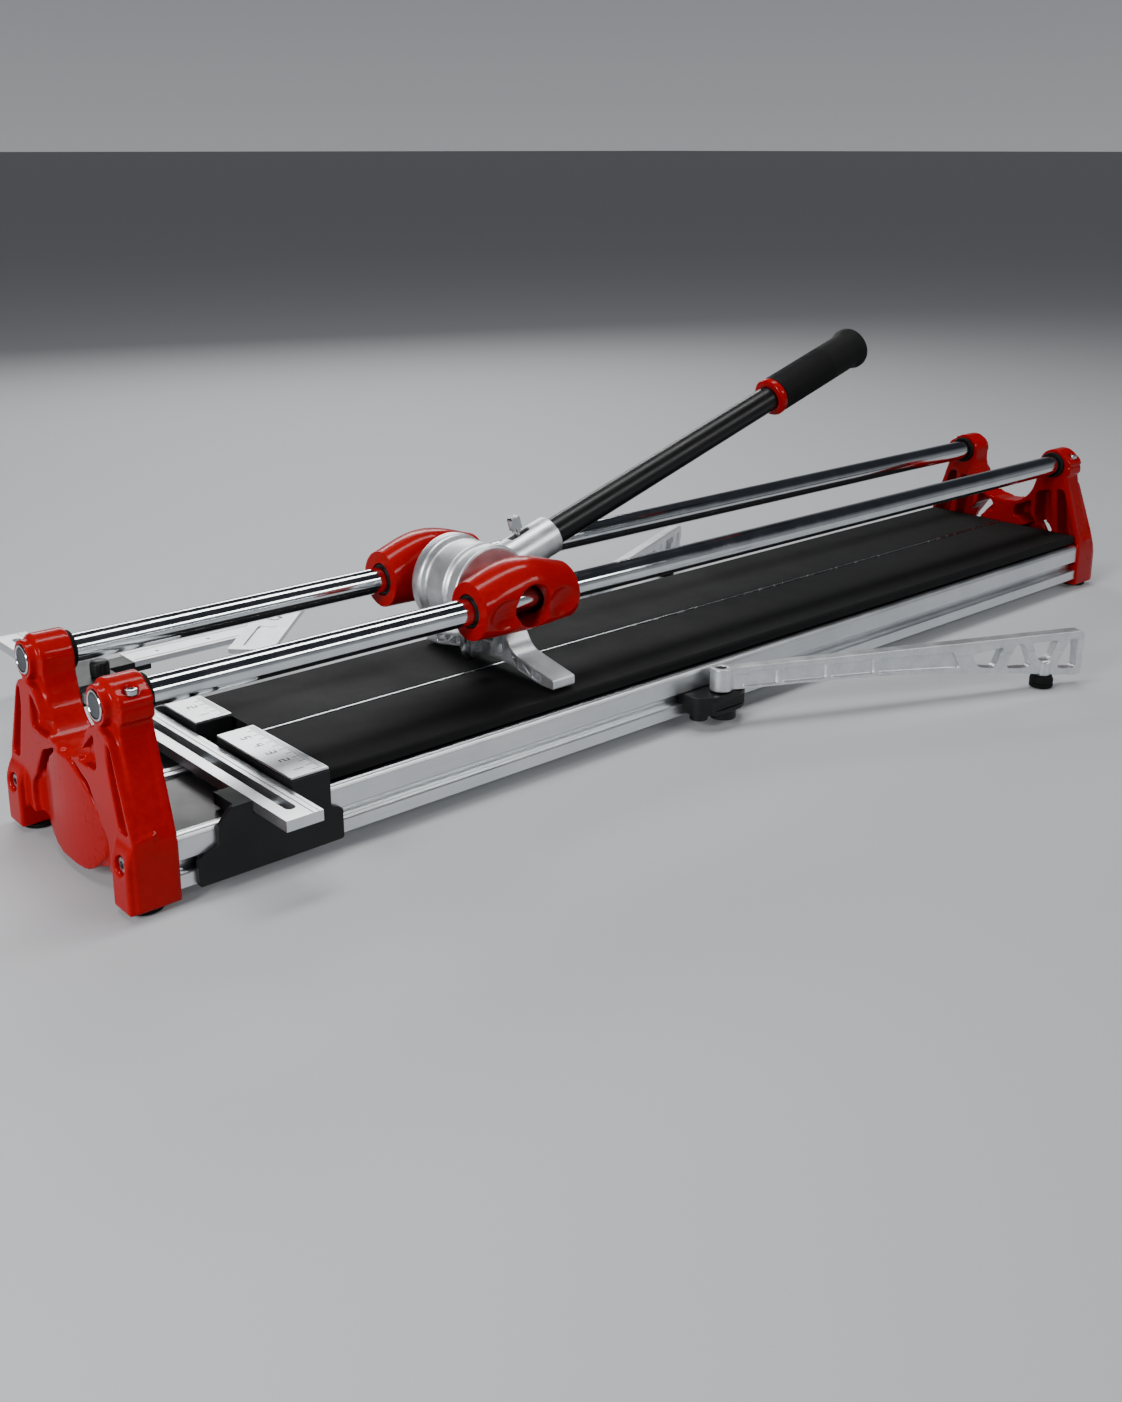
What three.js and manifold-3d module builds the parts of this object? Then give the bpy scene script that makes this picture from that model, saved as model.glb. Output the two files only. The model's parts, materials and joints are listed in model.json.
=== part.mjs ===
// Manual tile cutter: a long extruded base with a sprung padded table, two round guide rails
// held by cast end frames, a rolling carriage with a lever, scoring wheel and breaker foot,
// a sliding ruler with a lateral stop, and two swing-out side arms.
// Millimetres. X runs along the cut, Y across it, Z up from the floor.
import * as THREE from 'three';
import { mergeVertices } from 'three/addons/utils/BufferGeometryUtils.js';
import Module from 'manifold-3d';

const wasm = await Module();
wasm.setup();

// ---- driving sizes -------------------------------------------------------------------------
const FIT = 0.3;                 // gap left between two pieces that touch or are clamped
const LENGTH = 1325;             // over both end frames
const RAIL_SPACING = 132;        // between the rail axes
const RAIL_Z = 154.5;            // rail axis above the floor
const RAIL_OD = 24;
const RAIL_WALL = 2;
const ROUND = 24;                // facets of a full-size round
const SMALL_ROUND = 12;          // facets of a screw or pin
const DRUM_ROUND = 36;           // facets of the lever head's drum

const HEAD_R = 19.5;             // clamp head round each rail end
const HEAD_DEPTH = 36.5;         // end frame, front to back
const FRAME_SETBACK = 1.2;       // end frame behind the rail ends
const LEG_OUT = 112.6;           // outer side of a leg from the cutting line
const LEG_WIDTH = 28;
const LEG_KNEE_Z = 58;
const LEG_BOTTOM_Z = 4;
const TOE = 5;                   // how far the foot of a leg stands forward
const WALL = 5;                  // casting wall
const FRONT_WALL = 10;           // casting front wall
const RECESS_DEPTH = 6;          // front recesses, measured from the rail end
const VALLEY_Z = 97;             // middle of the dip between the two heads
const SHIELD_HALF = 46;
const BOSS_R = 13;               // round boss behind the shield
const BOSS_Z = 58;
const CLAMP_SLIT = 1.6;          // split through the outer side of each head
const SCREW_R = 4.9;             // head clamp screw
const SCREW_STEM_R = 2.5;
const SCREW_X = 22;
const SCREW_OUT = 18;            // outside the rail axis
const SCREW_SEAT = 9;            // head seat above the rail axis
const BOLT_R = 6.5;              // bolt at the front of each leg
const BOLT_STEM_R = 3;
const BOLT_Y = 98;
const BOLT_Z = 41;

const FOOT_R = 14.5;
const FOOT_X = 14;
const FOOT_Y = 96;
const FOOT_STEM_R = 4;
const FOOT_STEM = 12;            // above the bottom of the leg
const COLLAR_WALL = 4;           // rubber collar round a rail, behind the end frame
const COLLAR_THICK = 4.7;
const PLUG_DEPTH = 14;
const PLUG_WALL = 3;

const BASE_HALF = 110;           // base extrusion, half width
const BASE_Z0 = 12;
const BASE_WALL = 3;
const DECK_HALF = 103;           // half width of the recessed deck under the pads
const DECK_DEPTH = 2.5;          // deck below the rims of the base
const PAD_LIFT = 4.9;            // springs' travel between the deck and the pads
const GROOVE_Z0 = 24.5;          // side groove that carries the brackets
const GROOVE_Z1 = 35;
const GROOVE_DEPTH = 9;

const TABLE_TOP = 69;
const PAD_START = 171;           // from the near end
const PAD_END = 1285;
const PAD_GAP = 2.6;             // pad edge from the cutting line
const PAD_HALF = 106;
const PAD_THICK = 10.1;
const RIB_PROUD = 0.3;           // breaking rib above the pads
const RIB_WIDTH = 2;
const RIB_FOOT_HALF = 5;

const CARRIAGE_X = 398;          // lever pivot from the near end, as it stands
const COVER_HALF = 54;           // half length of a slide cover
const COVER_END_R = 27;
const COVER_TOP = 39;            // crown above the rail axis
const COVER_BOTTOM = 27;
const COVER_OUT = 30;            // outer bulge from the rail axis
const COVER_IN = 24;
const WINDOW_R = 19.5;
const BUSH_R = 15;
const BUSH_LENGTH = 26;
const SHAFT_R = 10;

const DRUM_R = 43;
const DRUM_HALF = 33.5;
const WAIST_R = 38;
const WAIST_HALF = 17;
const LEVER_TILT = 17.4;         // degrees above level, as it rests
const SOCKET_R = 19;
const SOCKET_END = 102;          // from the pivot
const TUBE_R = 13.5;
const TUBE_WALL = 2;
const TUBE_START = 58;
const COLLAR_AT = 430;           // red collar from the pivot
const COLLAR_LENGTH = 9;
const GRIP_R = 20;
const GRIP_END = 578;
const GRIP_FLANGE_R = 23;
const CLAMP_AT = 66;             // clamp screw from the pivot, along the lever
const CLAMP_STEM_R = 3;

const WHEEL_R = 11;
const WHEEL_WIDTH = 2.4;
const WHEEL_REACH = 64;          // pivot to wheel axis
const WHEEL_PIN_R = 2.5;
const HOLDER_WIDTH = 16;
const HOLDER_BACK = 8;           // socket for the wheel holder, either way from the wheel axis
const HOLDER_AHEAD = 12;

const BREAKER_REACH = 58;        // pivot to breaker hinge
const BREAKER_AHEAD = 33;        // degrees the breaker hinge lies ahead of straight down
const BREAKER_HALF = 96;
const BREAKER_RISE = 3.2;        // breaker foot above the pads, as it hangs
const BREAKER_DEPTH = 26;
const BREAKER_PIN_R = 4;

const RULER_X0 = 98;
const RULER_WIDTH = 32;
const RULER_LIFT = 2.1;          // ruler above the rims of the base
const RULER_THICK = 9;
const RULER_RIGHT = -163;
const RULER_LEFT = 395;
const RULER_SLOT = 9;
const RULER_SLOT_X = 113;
const PLATE_RISE = 6;            // scale plates above the pads
const PLATE_X1 = 167;
const PLATE_THICK = 2;
const SKIRT = 4.5;               // carrier side plate outside the base

const STOP_Y = 205;              // stop knob from the cutting line
const STOP_BAR_Y0 = 240;
const STOP_BAR_Y1 = 273;
const STOP_BAR_X0 = 174;
const STOP_BAR_X1 = 356;
const STOP_BAR_LIFT = 1.9;       // above the underside of the ruler
const STOP_BAR_T = 5.5;
const KNOB_X = 124;
const KNOB_R = 9;
const KNOB_HEIGHT = 15;
const KNOB_STEM_R = 3;
const ANGLE_LONG = 100;          // angle plate ends, either way from its pivot
const ANGLE_SHORT = 42;
const ANGLE_WIDTH = 44;
const ANGLE_T = 5;
const ANGLE_PIN_R = 4;

const ARM_X = 605;
const ARM_OUT = 18;              // arm pivot outside the base
const ARM_SWING = 24;            // degrees out from the base, as it stands
const ARM_LENGTH = 408;
const ARM_HALF = 6.5;            // half width of the arm
const ARM_ROOT_Z0 = 36;
const ARM_TOP_Z = 59;
const ARM_WEB = 4;
const ARM_POST_R = 5;
const ARM_FOOT_AT = 364;
const ARM_FOOT_R = 12;
const ARM_ROOT_R = 11;
const ARM_FOOT_BOSS_R = 8;
const ARM_FOOT_BOSS_Z = 13;

// ---- derived -------------------------------------------------------------------------------
const RAIL_R = RAIL_OD / 2;
const RAIL_Y = RAIL_SPACING / 2;
const BORE_R = RAIL_R + FIT;
const BASE_X0 = HEAD_DEPTH + FIT;
const PAD_Z0 = TABLE_TOP - PAD_THICK;
const DECK_Z = PAD_Z0 - PAD_LIFT;
const BASE_Z1 = DECK_Z + DECK_DEPTH;
const RIB_TOP = TABLE_TOP + RIB_PROUD;
const RULER_Z0 = BASE_Z1 + RULER_LIFT;
const RULER_Z1 = RULER_Z0 + RULER_THICK;
const PLATE_TOP = TABLE_TOP + PLATE_RISE;
const STOP_BAR_Z0 = RULER_Z0 + STOP_BAR_LIFT;
const BREAKER_Z0 = TABLE_TOP + BREAKER_RISE;
const ARM_Y = BASE_HALF + ARM_OUT;
const LEVER_ANGLE = THREE.MathUtils.degToRad(LEVER_TILT);
const ARM_ANGLE = THREE.MathUtils.degToRad(ARM_SWING);
const ARM_REACH_Y = ARM_Y + ARM_LENGTH * Math.sin(ARM_ANGLE) + ARM_HALF * Math.cos(ARM_ANGLE);
const SIDE_SHIFT = (RULER_LEFT - ARM_REACH_Y) / 2;

// ---- materials -----------------------------------------------------------------------------
const RED = { color: 0xc4121a, roughness: 0.28, metalness: 0.0 };
const CHROME = { color: 0xd9dcde, roughness: 0.12, metalness: 1.0 };
const ALUMINIUM = { color: 0xc9ccd0, roughness: 0.38, metalness: 1.0 };
const CAST_ALUMINIUM = { color: 0xbcbfc3, roughness: 0.45, metalness: 1.0 };
const STEEL = { color: 0xa9adb2, roughness: 0.35, metalness: 1.0 };
const BLACK_PLASTIC = { color: 0x1b1c1e, roughness: 0.6, metalness: 0.0 };
const BLACK_RUBBER = { color: 0x141416, roughness: 0.85, metalness: 0.0 };
const GREY_PLASTIC = { color: 0x4a4f55, roughness: 0.55, metalness: 0.0 };
const BLACK_PAINT = { color: 0x0f1012, roughness: 0.45, metalness: 0.3 };

// ---- solid helpers -------------------------------------------------------------------------
function toSolid(geometry) {
  const bare = geometry.clone();
  bare.deleteAttribute('normal');
  bare.deleteAttribute('uv');
  const merged = mergeVertices(bare, 1e-4);
  const vertProperties = new Float32Array(merged.attributes.position.array);
  const triVerts = new Uint32Array(merged.index.array);
  return new wasm.Manifold(new wasm.Mesh({ numProp: 3, vertProperties, triVerts }));
}

function toGeometry(solid) {
  const mesh = solid.getMesh();
  const geometry = new THREE.BufferGeometry();
  geometry.setAttribute('position', new THREE.BufferAttribute(new Float32Array(mesh.vertProperties), 3));
  geometry.setIndex(new THREE.BufferAttribute(new Uint32Array(mesh.triVerts), 1));
  geometry.computeVertexNormals();
  return geometry;
}

// Joins the first solid with `added` and cuts `removed` from the result.
function shaped(first, added, removed) {
  let solid = toSolid(first);
  for (const piece of added) {
    solid = solid.add(toSolid(piece));
  }
  for (const piece of removed) {
    solid = solid.subtract(toSolid(piece));
  }
  return toGeometry(solid);
}

function box(x0, x1, y0, y1, z0, z1) {
  const geometry = new THREE.BoxGeometry(x1 - x0, y1 - y0, z1 - z0);
  geometry.translate((x0 + x1) / 2, (y0 + y1) / 2, (z0 + z1) / 2);
  return geometry;
}

function rodX(radius, x0, x1, y, z, facets = ROUND) {
  const geometry = new THREE.CylinderGeometry(radius, radius, x1 - x0, facets);
  geometry.rotateZ(-Math.PI / 2);
  geometry.translate((x0 + x1) / 2, y, z);
  return geometry;
}

function rodY(radius, y0, y1, x, z, facets = ROUND) {
  const geometry = new THREE.CylinderGeometry(radius, radius, y1 - y0, facets);
  geometry.translate(x, (y0 + y1) / 2, z);
  return geometry;
}

function rodZ(radius, z0, z1, x, y, facets = ROUND) {
  const geometry = new THREE.CylinderGeometry(radius, radius, z1 - z0, facets);
  geometry.rotateX(Math.PI / 2);
  geometry.translate(x, y, (z0 + z1) / 2);
  return geometry;
}

// Drops a point that repeats the one after it, so that no side face has zero width.
function withoutRepeats(points) {
  return points.filter((point, i) => point.distanceTo(points[(i + 1) % points.length]) > 1e-3);
}

function extruded(shape, depth, curveSegments) {
  const outline = shape.extractPoints(curveSegments);
  const clean = new THREE.Shape(withoutRepeats(outline.shape));
  clean.holes = outline.holes.map((hole) => new THREE.Path(withoutRepeats(hole)));
  return new THREE.ExtrudeGeometry(clean, { depth, bevelEnabled: false });
}

// An outline drawn in (y, z), pushed along X.
function alongX(shape, x0, x1, curveSegments = 6) {
  const geometry = extruded(shape, x1 - x0, curveSegments);
  const turn = new THREE.Matrix4().set(0, 0, 1, x0, 1, 0, 0, 0, 0, 1, 0, 0, 0, 0, 0, 1);
  return geometry.applyMatrix4(turn);
}

// An outline drawn in (x, z), pushed along Y.
function alongY(shape, y0, y1, curveSegments = 6) {
  const geometry = extruded(shape, y1 - y0, curveSegments);
  geometry.rotateX(Math.PI / 2);
  return geometry.translate(0, y1, 0);
}

// An outline drawn in (x, y), pushed along Z.
function alongZ(shape, z0, z1, curveSegments = 6) {
  return extruded(shape, z1 - z0, curveSegments).translate(0, 0, z0);
}

function polygon(points) {
  return new THREE.Shape(points.map(([a, b]) => new THREE.Vector2(a, b)));
}

// A polygon whose corners are rounded by one radius, or by less where an edge is short.
function rounded(points, radius) {
  const shape = new THREE.Shape();
  const corners = points.map(([a, b]) => new THREE.Vector2(a, b));
  corners.forEach((corner, i) => {
    const before = corners[(i + corners.length - 1) % corners.length];
    const after = corners[(i + 1) % corners.length];
    const shortest = Math.min(before.distanceTo(corner), after.distanceTo(corner));
    const reach = Math.min(radius, 0.45 * shortest);
    const back = before.clone().sub(corner).setLength(reach).add(corner);
    const on = after.clone().sub(corner).setLength(reach).add(corner);
    if (i === 0) {
      shape.moveTo(back.x, back.y);
    } else {
      shape.lineTo(back.x, back.y);
    }
    shape.quadraticCurveTo(corner.x, corner.y, on.x, on.y);
  });
  return shape;
}

function mirrored(geometry, sx, sy) {
  const copy = geometry.index ? geometry.toNonIndexed() : geometry.clone();
  copy.deleteAttribute('normal');
  copy.deleteAttribute('uv');
  copy.scale(sx, sy, 1);
  const merged = mergeVertices(copy, 1e-4);
  if (sx * sy < 0) {
    const index = merged.index.array;
    for (let i = 0; i < index.length; i += 3) {
      [index[i + 1], index[i + 2]] = [index[i + 2], index[i + 1]];
    }
  }
  merged.computeVertexNormals();
  return merged;
}

function toFarEnd(geometry) {
  return mirrored(geometry, -1, 1).translate(LENGTH, 0, 0);
}

// A closed profile of [radius, height] pairs turned round +Z.
function turned(profile, facets = ROUND) {
  const geometry = new THREE.LatheGeometry(profile.map(([r, h]) => new THREE.Vector2(r, h)), facets);
  return geometry.rotateX(Math.PI / 2);
}

// ---- the assembly --------------------------------------------------------------------------
const assembly = new THREE.Group();
assembly.name = 'tile_cutter';

function place(name, geometry, look) {
  const mesh = new THREE.Mesh(geometry, new THREE.MeshStandardMaterial(look));
  mesh.name = name;
  assembly.add(mesh);
}

// Places the right-hand piece as drawn and its mirror image on the left.
function placePair(name, geometry, look) {
  place(`${name}_right`, geometry, look);
  place(`${name}_left`, mirrored(geometry, 1, -1), look);
}

// One piece at each of the four corners, drawn for the near right corner.
function placeCorners(name, geometry, look) {
  placePair(`${name}_near`, geometry, look);
  placePair(`${name}_far`, toFarEnd(geometry), look);
}

// ---- end frames ----------------------------------------------------------------------------
function legOutline() {
  const legIn = LEG_OUT - LEG_WIDTH;
  const shape = new THREE.Shape();
  shape.moveTo(-1, 8);
  shape.lineTo(30, 9);
  shape.quadraticCurveTo(50, 12, 60, 22);
  shape.lineTo(legIn, 24);
  shape.lineTo(legIn, LEG_BOTTOM_Z);
  shape.lineTo(LEG_OUT - 4, LEG_BOTTOM_Z);
  shape.quadraticCurveTo(LEG_OUT, LEG_BOTTOM_Z, LEG_OUT, LEG_BOTTOM_Z + 4);
  shape.lineTo(LEG_OUT, LEG_KNEE_Z - 8);
  shape.quadraticCurveTo(LEG_OUT, LEG_KNEE_Z, LEG_OUT - 4, LEG_KNEE_Z + 10);
  shape.lineTo(RAIL_Y + HEAD_R + 1, RAIL_Z - 16);
  shape.lineTo(RAIL_Y + HEAD_R, RAIL_Z);
  shape.absarc(RAIL_Y, RAIL_Z, HEAD_R, 0, Math.PI, false);
  shape.lineTo(RAIL_Y - HEAD_R, RAIL_Z - 14);
  shape.quadraticCurveTo(40, 112, 20, VALLEY_Z + 2);
  shape.lineTo(-1, VALLEY_Z);
  return shape;
}

function backPockets() {
  const outer = LEG_OUT - WALL;
  const legPocket = [[outer, 30], [outer, 56], [84, 124], [74, 124], [80, 70], [90, 52], [90, 30]];
  const sidePocket = [[83, 30], [83, 50], [73, 66], [66, 122], [46, 116], [46, 84], [62, 48], [58, 30]];
  const midPocket = [[40, 84], [40, 104], [16, 92], [16, 78]];
  const lowPocket = [[52, 26], [54, 46], [34, 72], [22, 62], [22, 18], [40, 16]];
  return [legPocket, sidePocket, midPocket, lowPocket]
    .map((points) => alongX(rounded(points, 4), FRONT_WALL, HEAD_DEPTH + 1, 2));
}

function frontRecesses() {
  const legRecess = [[106, 64], [86, 128], [80, 130], [80, 112], [92, 64]];
  const headRecess = [[60, 130], [26, 102], [30, 98], [60, 100]];
  const slotWindow = [[52, 56], [58, 62], [40, 86], [20, 88], [24, 78]];
  return [
    alongX(rounded(legRecess, 4), -1, RECESS_DEPTH, 2),
    alongX(rounded(headRecess, 4), -1, RECESS_DEPTH, 2),
    alongX(rounded(slotWindow, 3.5), -1, HEAD_DEPTH + 1, 2),
  ];
}

function halfFrame() {
  const y = RAIL_Y;
  const lug = rounded([[y, RAIL_Z - 11], [y + 24, RAIL_Z - 11], [y + 24, RAIL_Z + 9], [y, RAIL_Z + 17]], 4);
  const toe = rounded([[-TOE, LEG_BOTTOM_Z], [20, LEG_BOTTOM_Z], [20, LEG_KNEE_Z + 6],
    [FRAME_SETBACK, LEG_KNEE_Z], [-TOE, LEG_KNEE_Z - 14]], 3);
  const shield = rounded([[-1, 7], [26, 7], [SHIELD_HALF, 24], [SHIELD_HALF, 64], [14, VALLEY_Z - 3],
    [-1, VALLEY_Z - 1]], 0.9);
  const added = [
    alongX(lug, FRAME_SETBACK + 6, HEAD_DEPTH, 3),
    alongY(toe, LEG_OUT - LEG_WIDTH, LEG_OUT - 1.5, 3),
    alongX(shield, FRAME_SETBACK - 2, FRONT_WALL, 2),
    rodX(BOSS_R, FRONT_WALL - 1, HEAD_DEPTH - 2, 0, BOSS_Z),
  ];
  const removed = [
    ...backPockets(),
    ...frontRecesses(),
    rodX(BORE_R, -1, HEAD_DEPTH + 1, y, RAIL_Z),
    box(-1, HEAD_DEPTH + 1, y + BORE_R - 1, y + 30, RAIL_Z - CLAMP_SLIT / 2, RAIL_Z + CLAMP_SLIT / 2),
    rodZ(SCREW_R + FIT, RAIL_Z + SCREW_SEAT, RAIL_Z + 24, SCREW_X, y + SCREW_OUT, SMALL_ROUND),
    rodZ(SCREW_STEM_R + FIT, RAIL_Z - SCREW_SEAT, RAIL_Z + 10, SCREW_X, y + SCREW_OUT, SMALL_ROUND),
    rodX(BOLT_R + 0.5, -TOE - 1, -TOE + 9, BOLT_Y, BOLT_Z, SMALL_ROUND),
    rodX(BOLT_STEM_R + FIT, -TOE - 1, FRONT_WALL + 12, BOLT_Y, BOLT_Z, SMALL_ROUND),
    rodZ(FOOT_STEM_R + FIT, 0, LEG_BOTTOM_Z + FOOT_STEM + 1, FOOT_X, FOOT_Y, SMALL_ROUND),
  ];
  return shaped(alongX(legOutline(), FRAME_SETBACK, HEAD_DEPTH, 5), added, removed);
}

function buildFrames() {
  const half = halfFrame();
  const whole = toGeometry(toSolid(half).add(toSolid(mirrored(half, 1, -1))));
  place('near_end_frame', whole, RED);
  place('far_end_frame', toFarEnd(whole), RED);
  buildRailEnds();
  buildFasteners();
}

// The plug in each rail end, and the rubber collar behind each head.
function buildRailEnds() {
  const y = -RAIL_Y;
  const plugR = RAIL_R - RAIL_WALL - FIT;
  const hollowR = plugR - PLUG_WALL;
  const plug = turned([[0, 0.4], [plugR - 1, 0.6], [plugR, 1.2], [plugR, PLUG_DEPTH], [hollowR, PLUG_DEPTH],
    [hollowR, 4], [0, 4]], 16);
  plug.rotateY(Math.PI / 2);
  placeCorners('rail_plug', plug.translate(0, y, RAIL_Z), GREY_PLASTIC);

  const collar = shaped(
    rodX(RAIL_R + COLLAR_WALL, HEAD_DEPTH + FIT, HEAD_DEPTH + FIT + COLLAR_THICK, y, RAIL_Z),
    [],
    [rodX(BORE_R, HEAD_DEPTH, HEAD_DEPTH + COLLAR_THICK + 1, y, RAIL_Z)],
  );
  placeCorners('rail_collar', collar, BLACK_RUBBER);
}

// Clamp screws in the heads, bolts in the legs and rubber feet under them.
function buildFasteners() {
  const y = -RAIL_Y - SCREW_OUT;
  const seat = RAIL_Z + SCREW_SEAT;
  const screw = shaped(
    rodZ(SCREW_R, seat + FIT, seat + 4, SCREW_X, y, SMALL_ROUND),
    [rodZ(SCREW_STEM_R, RAIL_Z - SCREW_SEAT + 1, seat + 1, SCREW_X, y, SMALL_ROUND)],
    [rodZ(SCREW_R / 2, seat + 1.5, seat + 5, SCREW_X, y, 6)],
  );
  placeCorners('head_screw', screw, STEEL);

  const bolt = shaped(
    rodX(BOLT_R, -TOE + 3, -TOE + 9 - FIT, -BOLT_Y, BOLT_Z, SMALL_ROUND),
    [rodX(BOLT_STEM_R, -TOE + 8, FRONT_WALL + 9, -BOLT_Y, BOLT_Z, SMALL_ROUND)],
    [rodX(BOLT_R / 2, -TOE + 2, -TOE + 6.5, -BOLT_Y, BOLT_Z, 6)],
  );
  placeCorners('leg_bolt', bolt, STEEL);

  const underLeg = LEG_BOTTOM_Z - FIT;
  const stemTop = LEG_BOTTOM_Z + FOOT_STEM;
  const foot = turned([[0, 0], [FOOT_R - 1.5, 0], [FOOT_R, 1.5], [FOOT_R, underLeg], [FOOT_STEM_R, underLeg],
    [FOOT_STEM_R, stemTop], [0, stemTop]], 16);
  placeCorners('foot', foot.translate(FOOT_X, -FOOT_Y, 0), BLACK_RUBBER);
}

// ---- rails ---------------------------------------------------------------------------------
function buildRails() {
  const rail = shaped(
    rodX(RAIL_R, 0.5, LENGTH - 0.5, -RAIL_Y, RAIL_Z),
    [],
    [rodX(RAIL_R - RAIL_WALL, 0, LENGTH, -RAIL_Y, RAIL_Z)],
  );
  placePair('guide_rail', rail, CHROME);
}

// ---- base and table ------------------------------------------------------------------------
function baseOutline() {
  const w = BASE_HALF;
  const right = [
    [-w + 1, BASE_Z0], [-w, BASE_Z0 + 1], [-w, GROOVE_Z0],
    [-w + 3, GROOVE_Z0], [-w + 3, GROOVE_Z0 - 1.5], [-w + GROOVE_DEPTH, GROOVE_Z0 - 1.5],
    [-w + GROOVE_DEPTH, GROOVE_Z1 + 1.5], [-w + 3, GROOVE_Z1 + 1.5], [-w + 3, GROOVE_Z1],
    [-w, GROOVE_Z1], [-w, BASE_Z1 - 5], [-w + 1.5, BASE_Z1 - 1.5], [-w + 4, BASE_Z1],
    [-DECK_HALF, BASE_Z1], [-DECK_HALF, DECK_Z],
    [-RIB_FOOT_HALF - 2, DECK_Z], [-RIB_FOOT_HALF - 2, BASE_Z1],
    [-RIB_WIDTH / 2 - FIT, BASE_Z1], [-RIB_WIDTH / 2 - FIT, BASE_Z1 - 0.5],
    [-RIB_FOOT_HALF - FIT, BASE_Z1 - 0.5], [-RIB_FOOT_HALF - FIT, BASE_Z1 - 4],
  ];
  const left = right.slice().reverse().map(([y, z]) => [-y, z]);
  return polygon([...right, ...left].reverse());
}

function buildBase() {
  const shape = baseOutline();
  const top = DECK_Z - BASE_WALL;
  const bottom = BASE_Z0 + BASE_WALL;
  const chambers = [[-98, -60], [-56, -12], [12, 56], [60, 98]];
  chambers.forEach(([y0, y1]) => {
    const hole = rounded([[y0, bottom], [y1, bottom], [y1, top], [y0, top]], 2);
    shape.holes.push(new THREE.Path(hole.getPoints(2).slice(0, -1)));
  });
  place('base_extrusion', alongX(shape, BASE_X0, LENGTH - BASE_X0, 2), ALUMINIUM);

  const foot = RIB_FOOT_HALF;
  const half = RIB_WIDTH / 2;
  const low = BASE_Z1 - 4 + FIT;
  const mid = BASE_Z1 - 0.5 - FIT;
  const rib = polygon([[-foot, low], [foot, low], [foot, mid], [half, mid], [half, RIB_TOP], [-half, RIB_TOP],
    [-half, mid], [-foot, mid]]);
  place('breaking_rib', alongX(rib, PAD_START, PAD_END), STEEL);

  const pad = new THREE.Shape();
  pad.moveTo(-PAD_GAP, PAD_Z0 + 2);
  pad.lineTo(-PAD_GAP, TABLE_TOP);
  pad.lineTo(-PAD_HALF + 3, TABLE_TOP);
  pad.quadraticCurveTo(-PAD_HALF, TABLE_TOP, -PAD_HALF, TABLE_TOP - 3);
  pad.lineTo(-PAD_HALF, PAD_Z0 + 0.5);
  pad.lineTo(-PAD_HALF + 8, PAD_Z0 + 0.5);
  pad.lineTo(-PAD_HALF + 10, PAD_Z0);
  pad.lineTo(-9, PAD_Z0);
  pad.lineTo(-9, PAD_Z0 + 2);
  placePair('table_pad', alongX(pad, PAD_START, PAD_END, 4), BLACK_RUBBER);
}

// ---- ruler, its carriers and the lateral stop ----------------------------------------------
function buildRuler() {
  const x0 = RULER_X0;
  const x1 = RULER_X0 + RULER_WIDTH;
  const slot0 = RULER_RIGHT + 16;
  const bar = shaped(
    box(x0, x1, RULER_RIGHT, RULER_LEFT, RULER_Z0, RULER_Z1),
    [],
    [
      box(RULER_SLOT_X - RULER_SLOT / 2, RULER_SLOT_X + RULER_SLOT / 2, slot0 + 4.5, RULER_LEFT - 20,
        RULER_Z0 - 1, RULER_Z1 + 1),
      rodZ(RULER_SLOT / 2, RULER_Z0 - 1, RULER_Z1 + 1, RULER_SLOT_X, slot0 + 4.5, SMALL_ROUND),
      rodZ(RULER_SLOT / 2, RULER_Z0 - 1, RULER_Z1 + 1, RULER_SLOT_X, RULER_LEFT - 20, SMALL_ROUND),
    ],
  );
  place('ruler_bar', bar, ALUMINIUM);

  buildCarriers();
  buildStop();
}

function buildCarriers() {
  const side = BASE_HALF + SKIRT;
  const seat = BASE_Z1 + FIT;
  const blockTop = PLATE_TOP - PLATE_THICK - FIT;
  const x0 = RULER_X0 - FIT;
  const x1 = RULER_X0 + RULER_WIDTH + FIT;
  const skirt = rounded([[50, 11], [178, 11], [178, 37], [PLATE_X1, 42], [PLATE_X1, blockTop],
    [x1 + 2, blockTop], [x1 + 2, seat], [x0, seat], [x0, RULER_Z1], [x0 - 18, RULER_Z1], [68, 54], [68, 40], [50, 32]], 1.8);
  const tongue = box(54, 174, -BASE_HALF - 1, -BASE_HALF + 6, GROOVE_Z0 + FIT, GROOVE_Z1 - FIT);
  const fence = box(x0 - 14, x0 - 0.02, -side + 0.5, -80, seat, RULER_Z1 - 0.5);
  const plateBlock = (y0, y1) => box(x1 + 2.02, PLATE_X1 - 0.5, y0, y1, seat, blockTop);
  const way = box(x0, x1, -side - 1, -60, seat, RULER_Z1 + 10);
  const wrap = alongY(skirt, -side, -BASE_HALF - FIT, 4);
  place('ruler_carrier_right', shaped(wrap, [tongue, fence, plateBlock(-side + 1, 2)], [way]), BLACK_PLASTIC);
  const leftHand = shaped(wrap, [tongue, fence, plateBlock(-side + 1, -38)], [way]);
  place('ruler_carrier_left', mirrored(leftHand, 1, -1), BLACK_PLASTIC);
  const plate = (y0, y1) => box(x1 + 2.5, PLATE_X1, y0, y1, PLATE_TOP - PLATE_THICK, PLATE_TOP);
  place('scale_plate_right', plate(-BASE_HALF - 3, 3), ALUMINIUM);
  place('scale_plate_left', plate(39, 97), ALUMINIUM);
}

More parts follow.
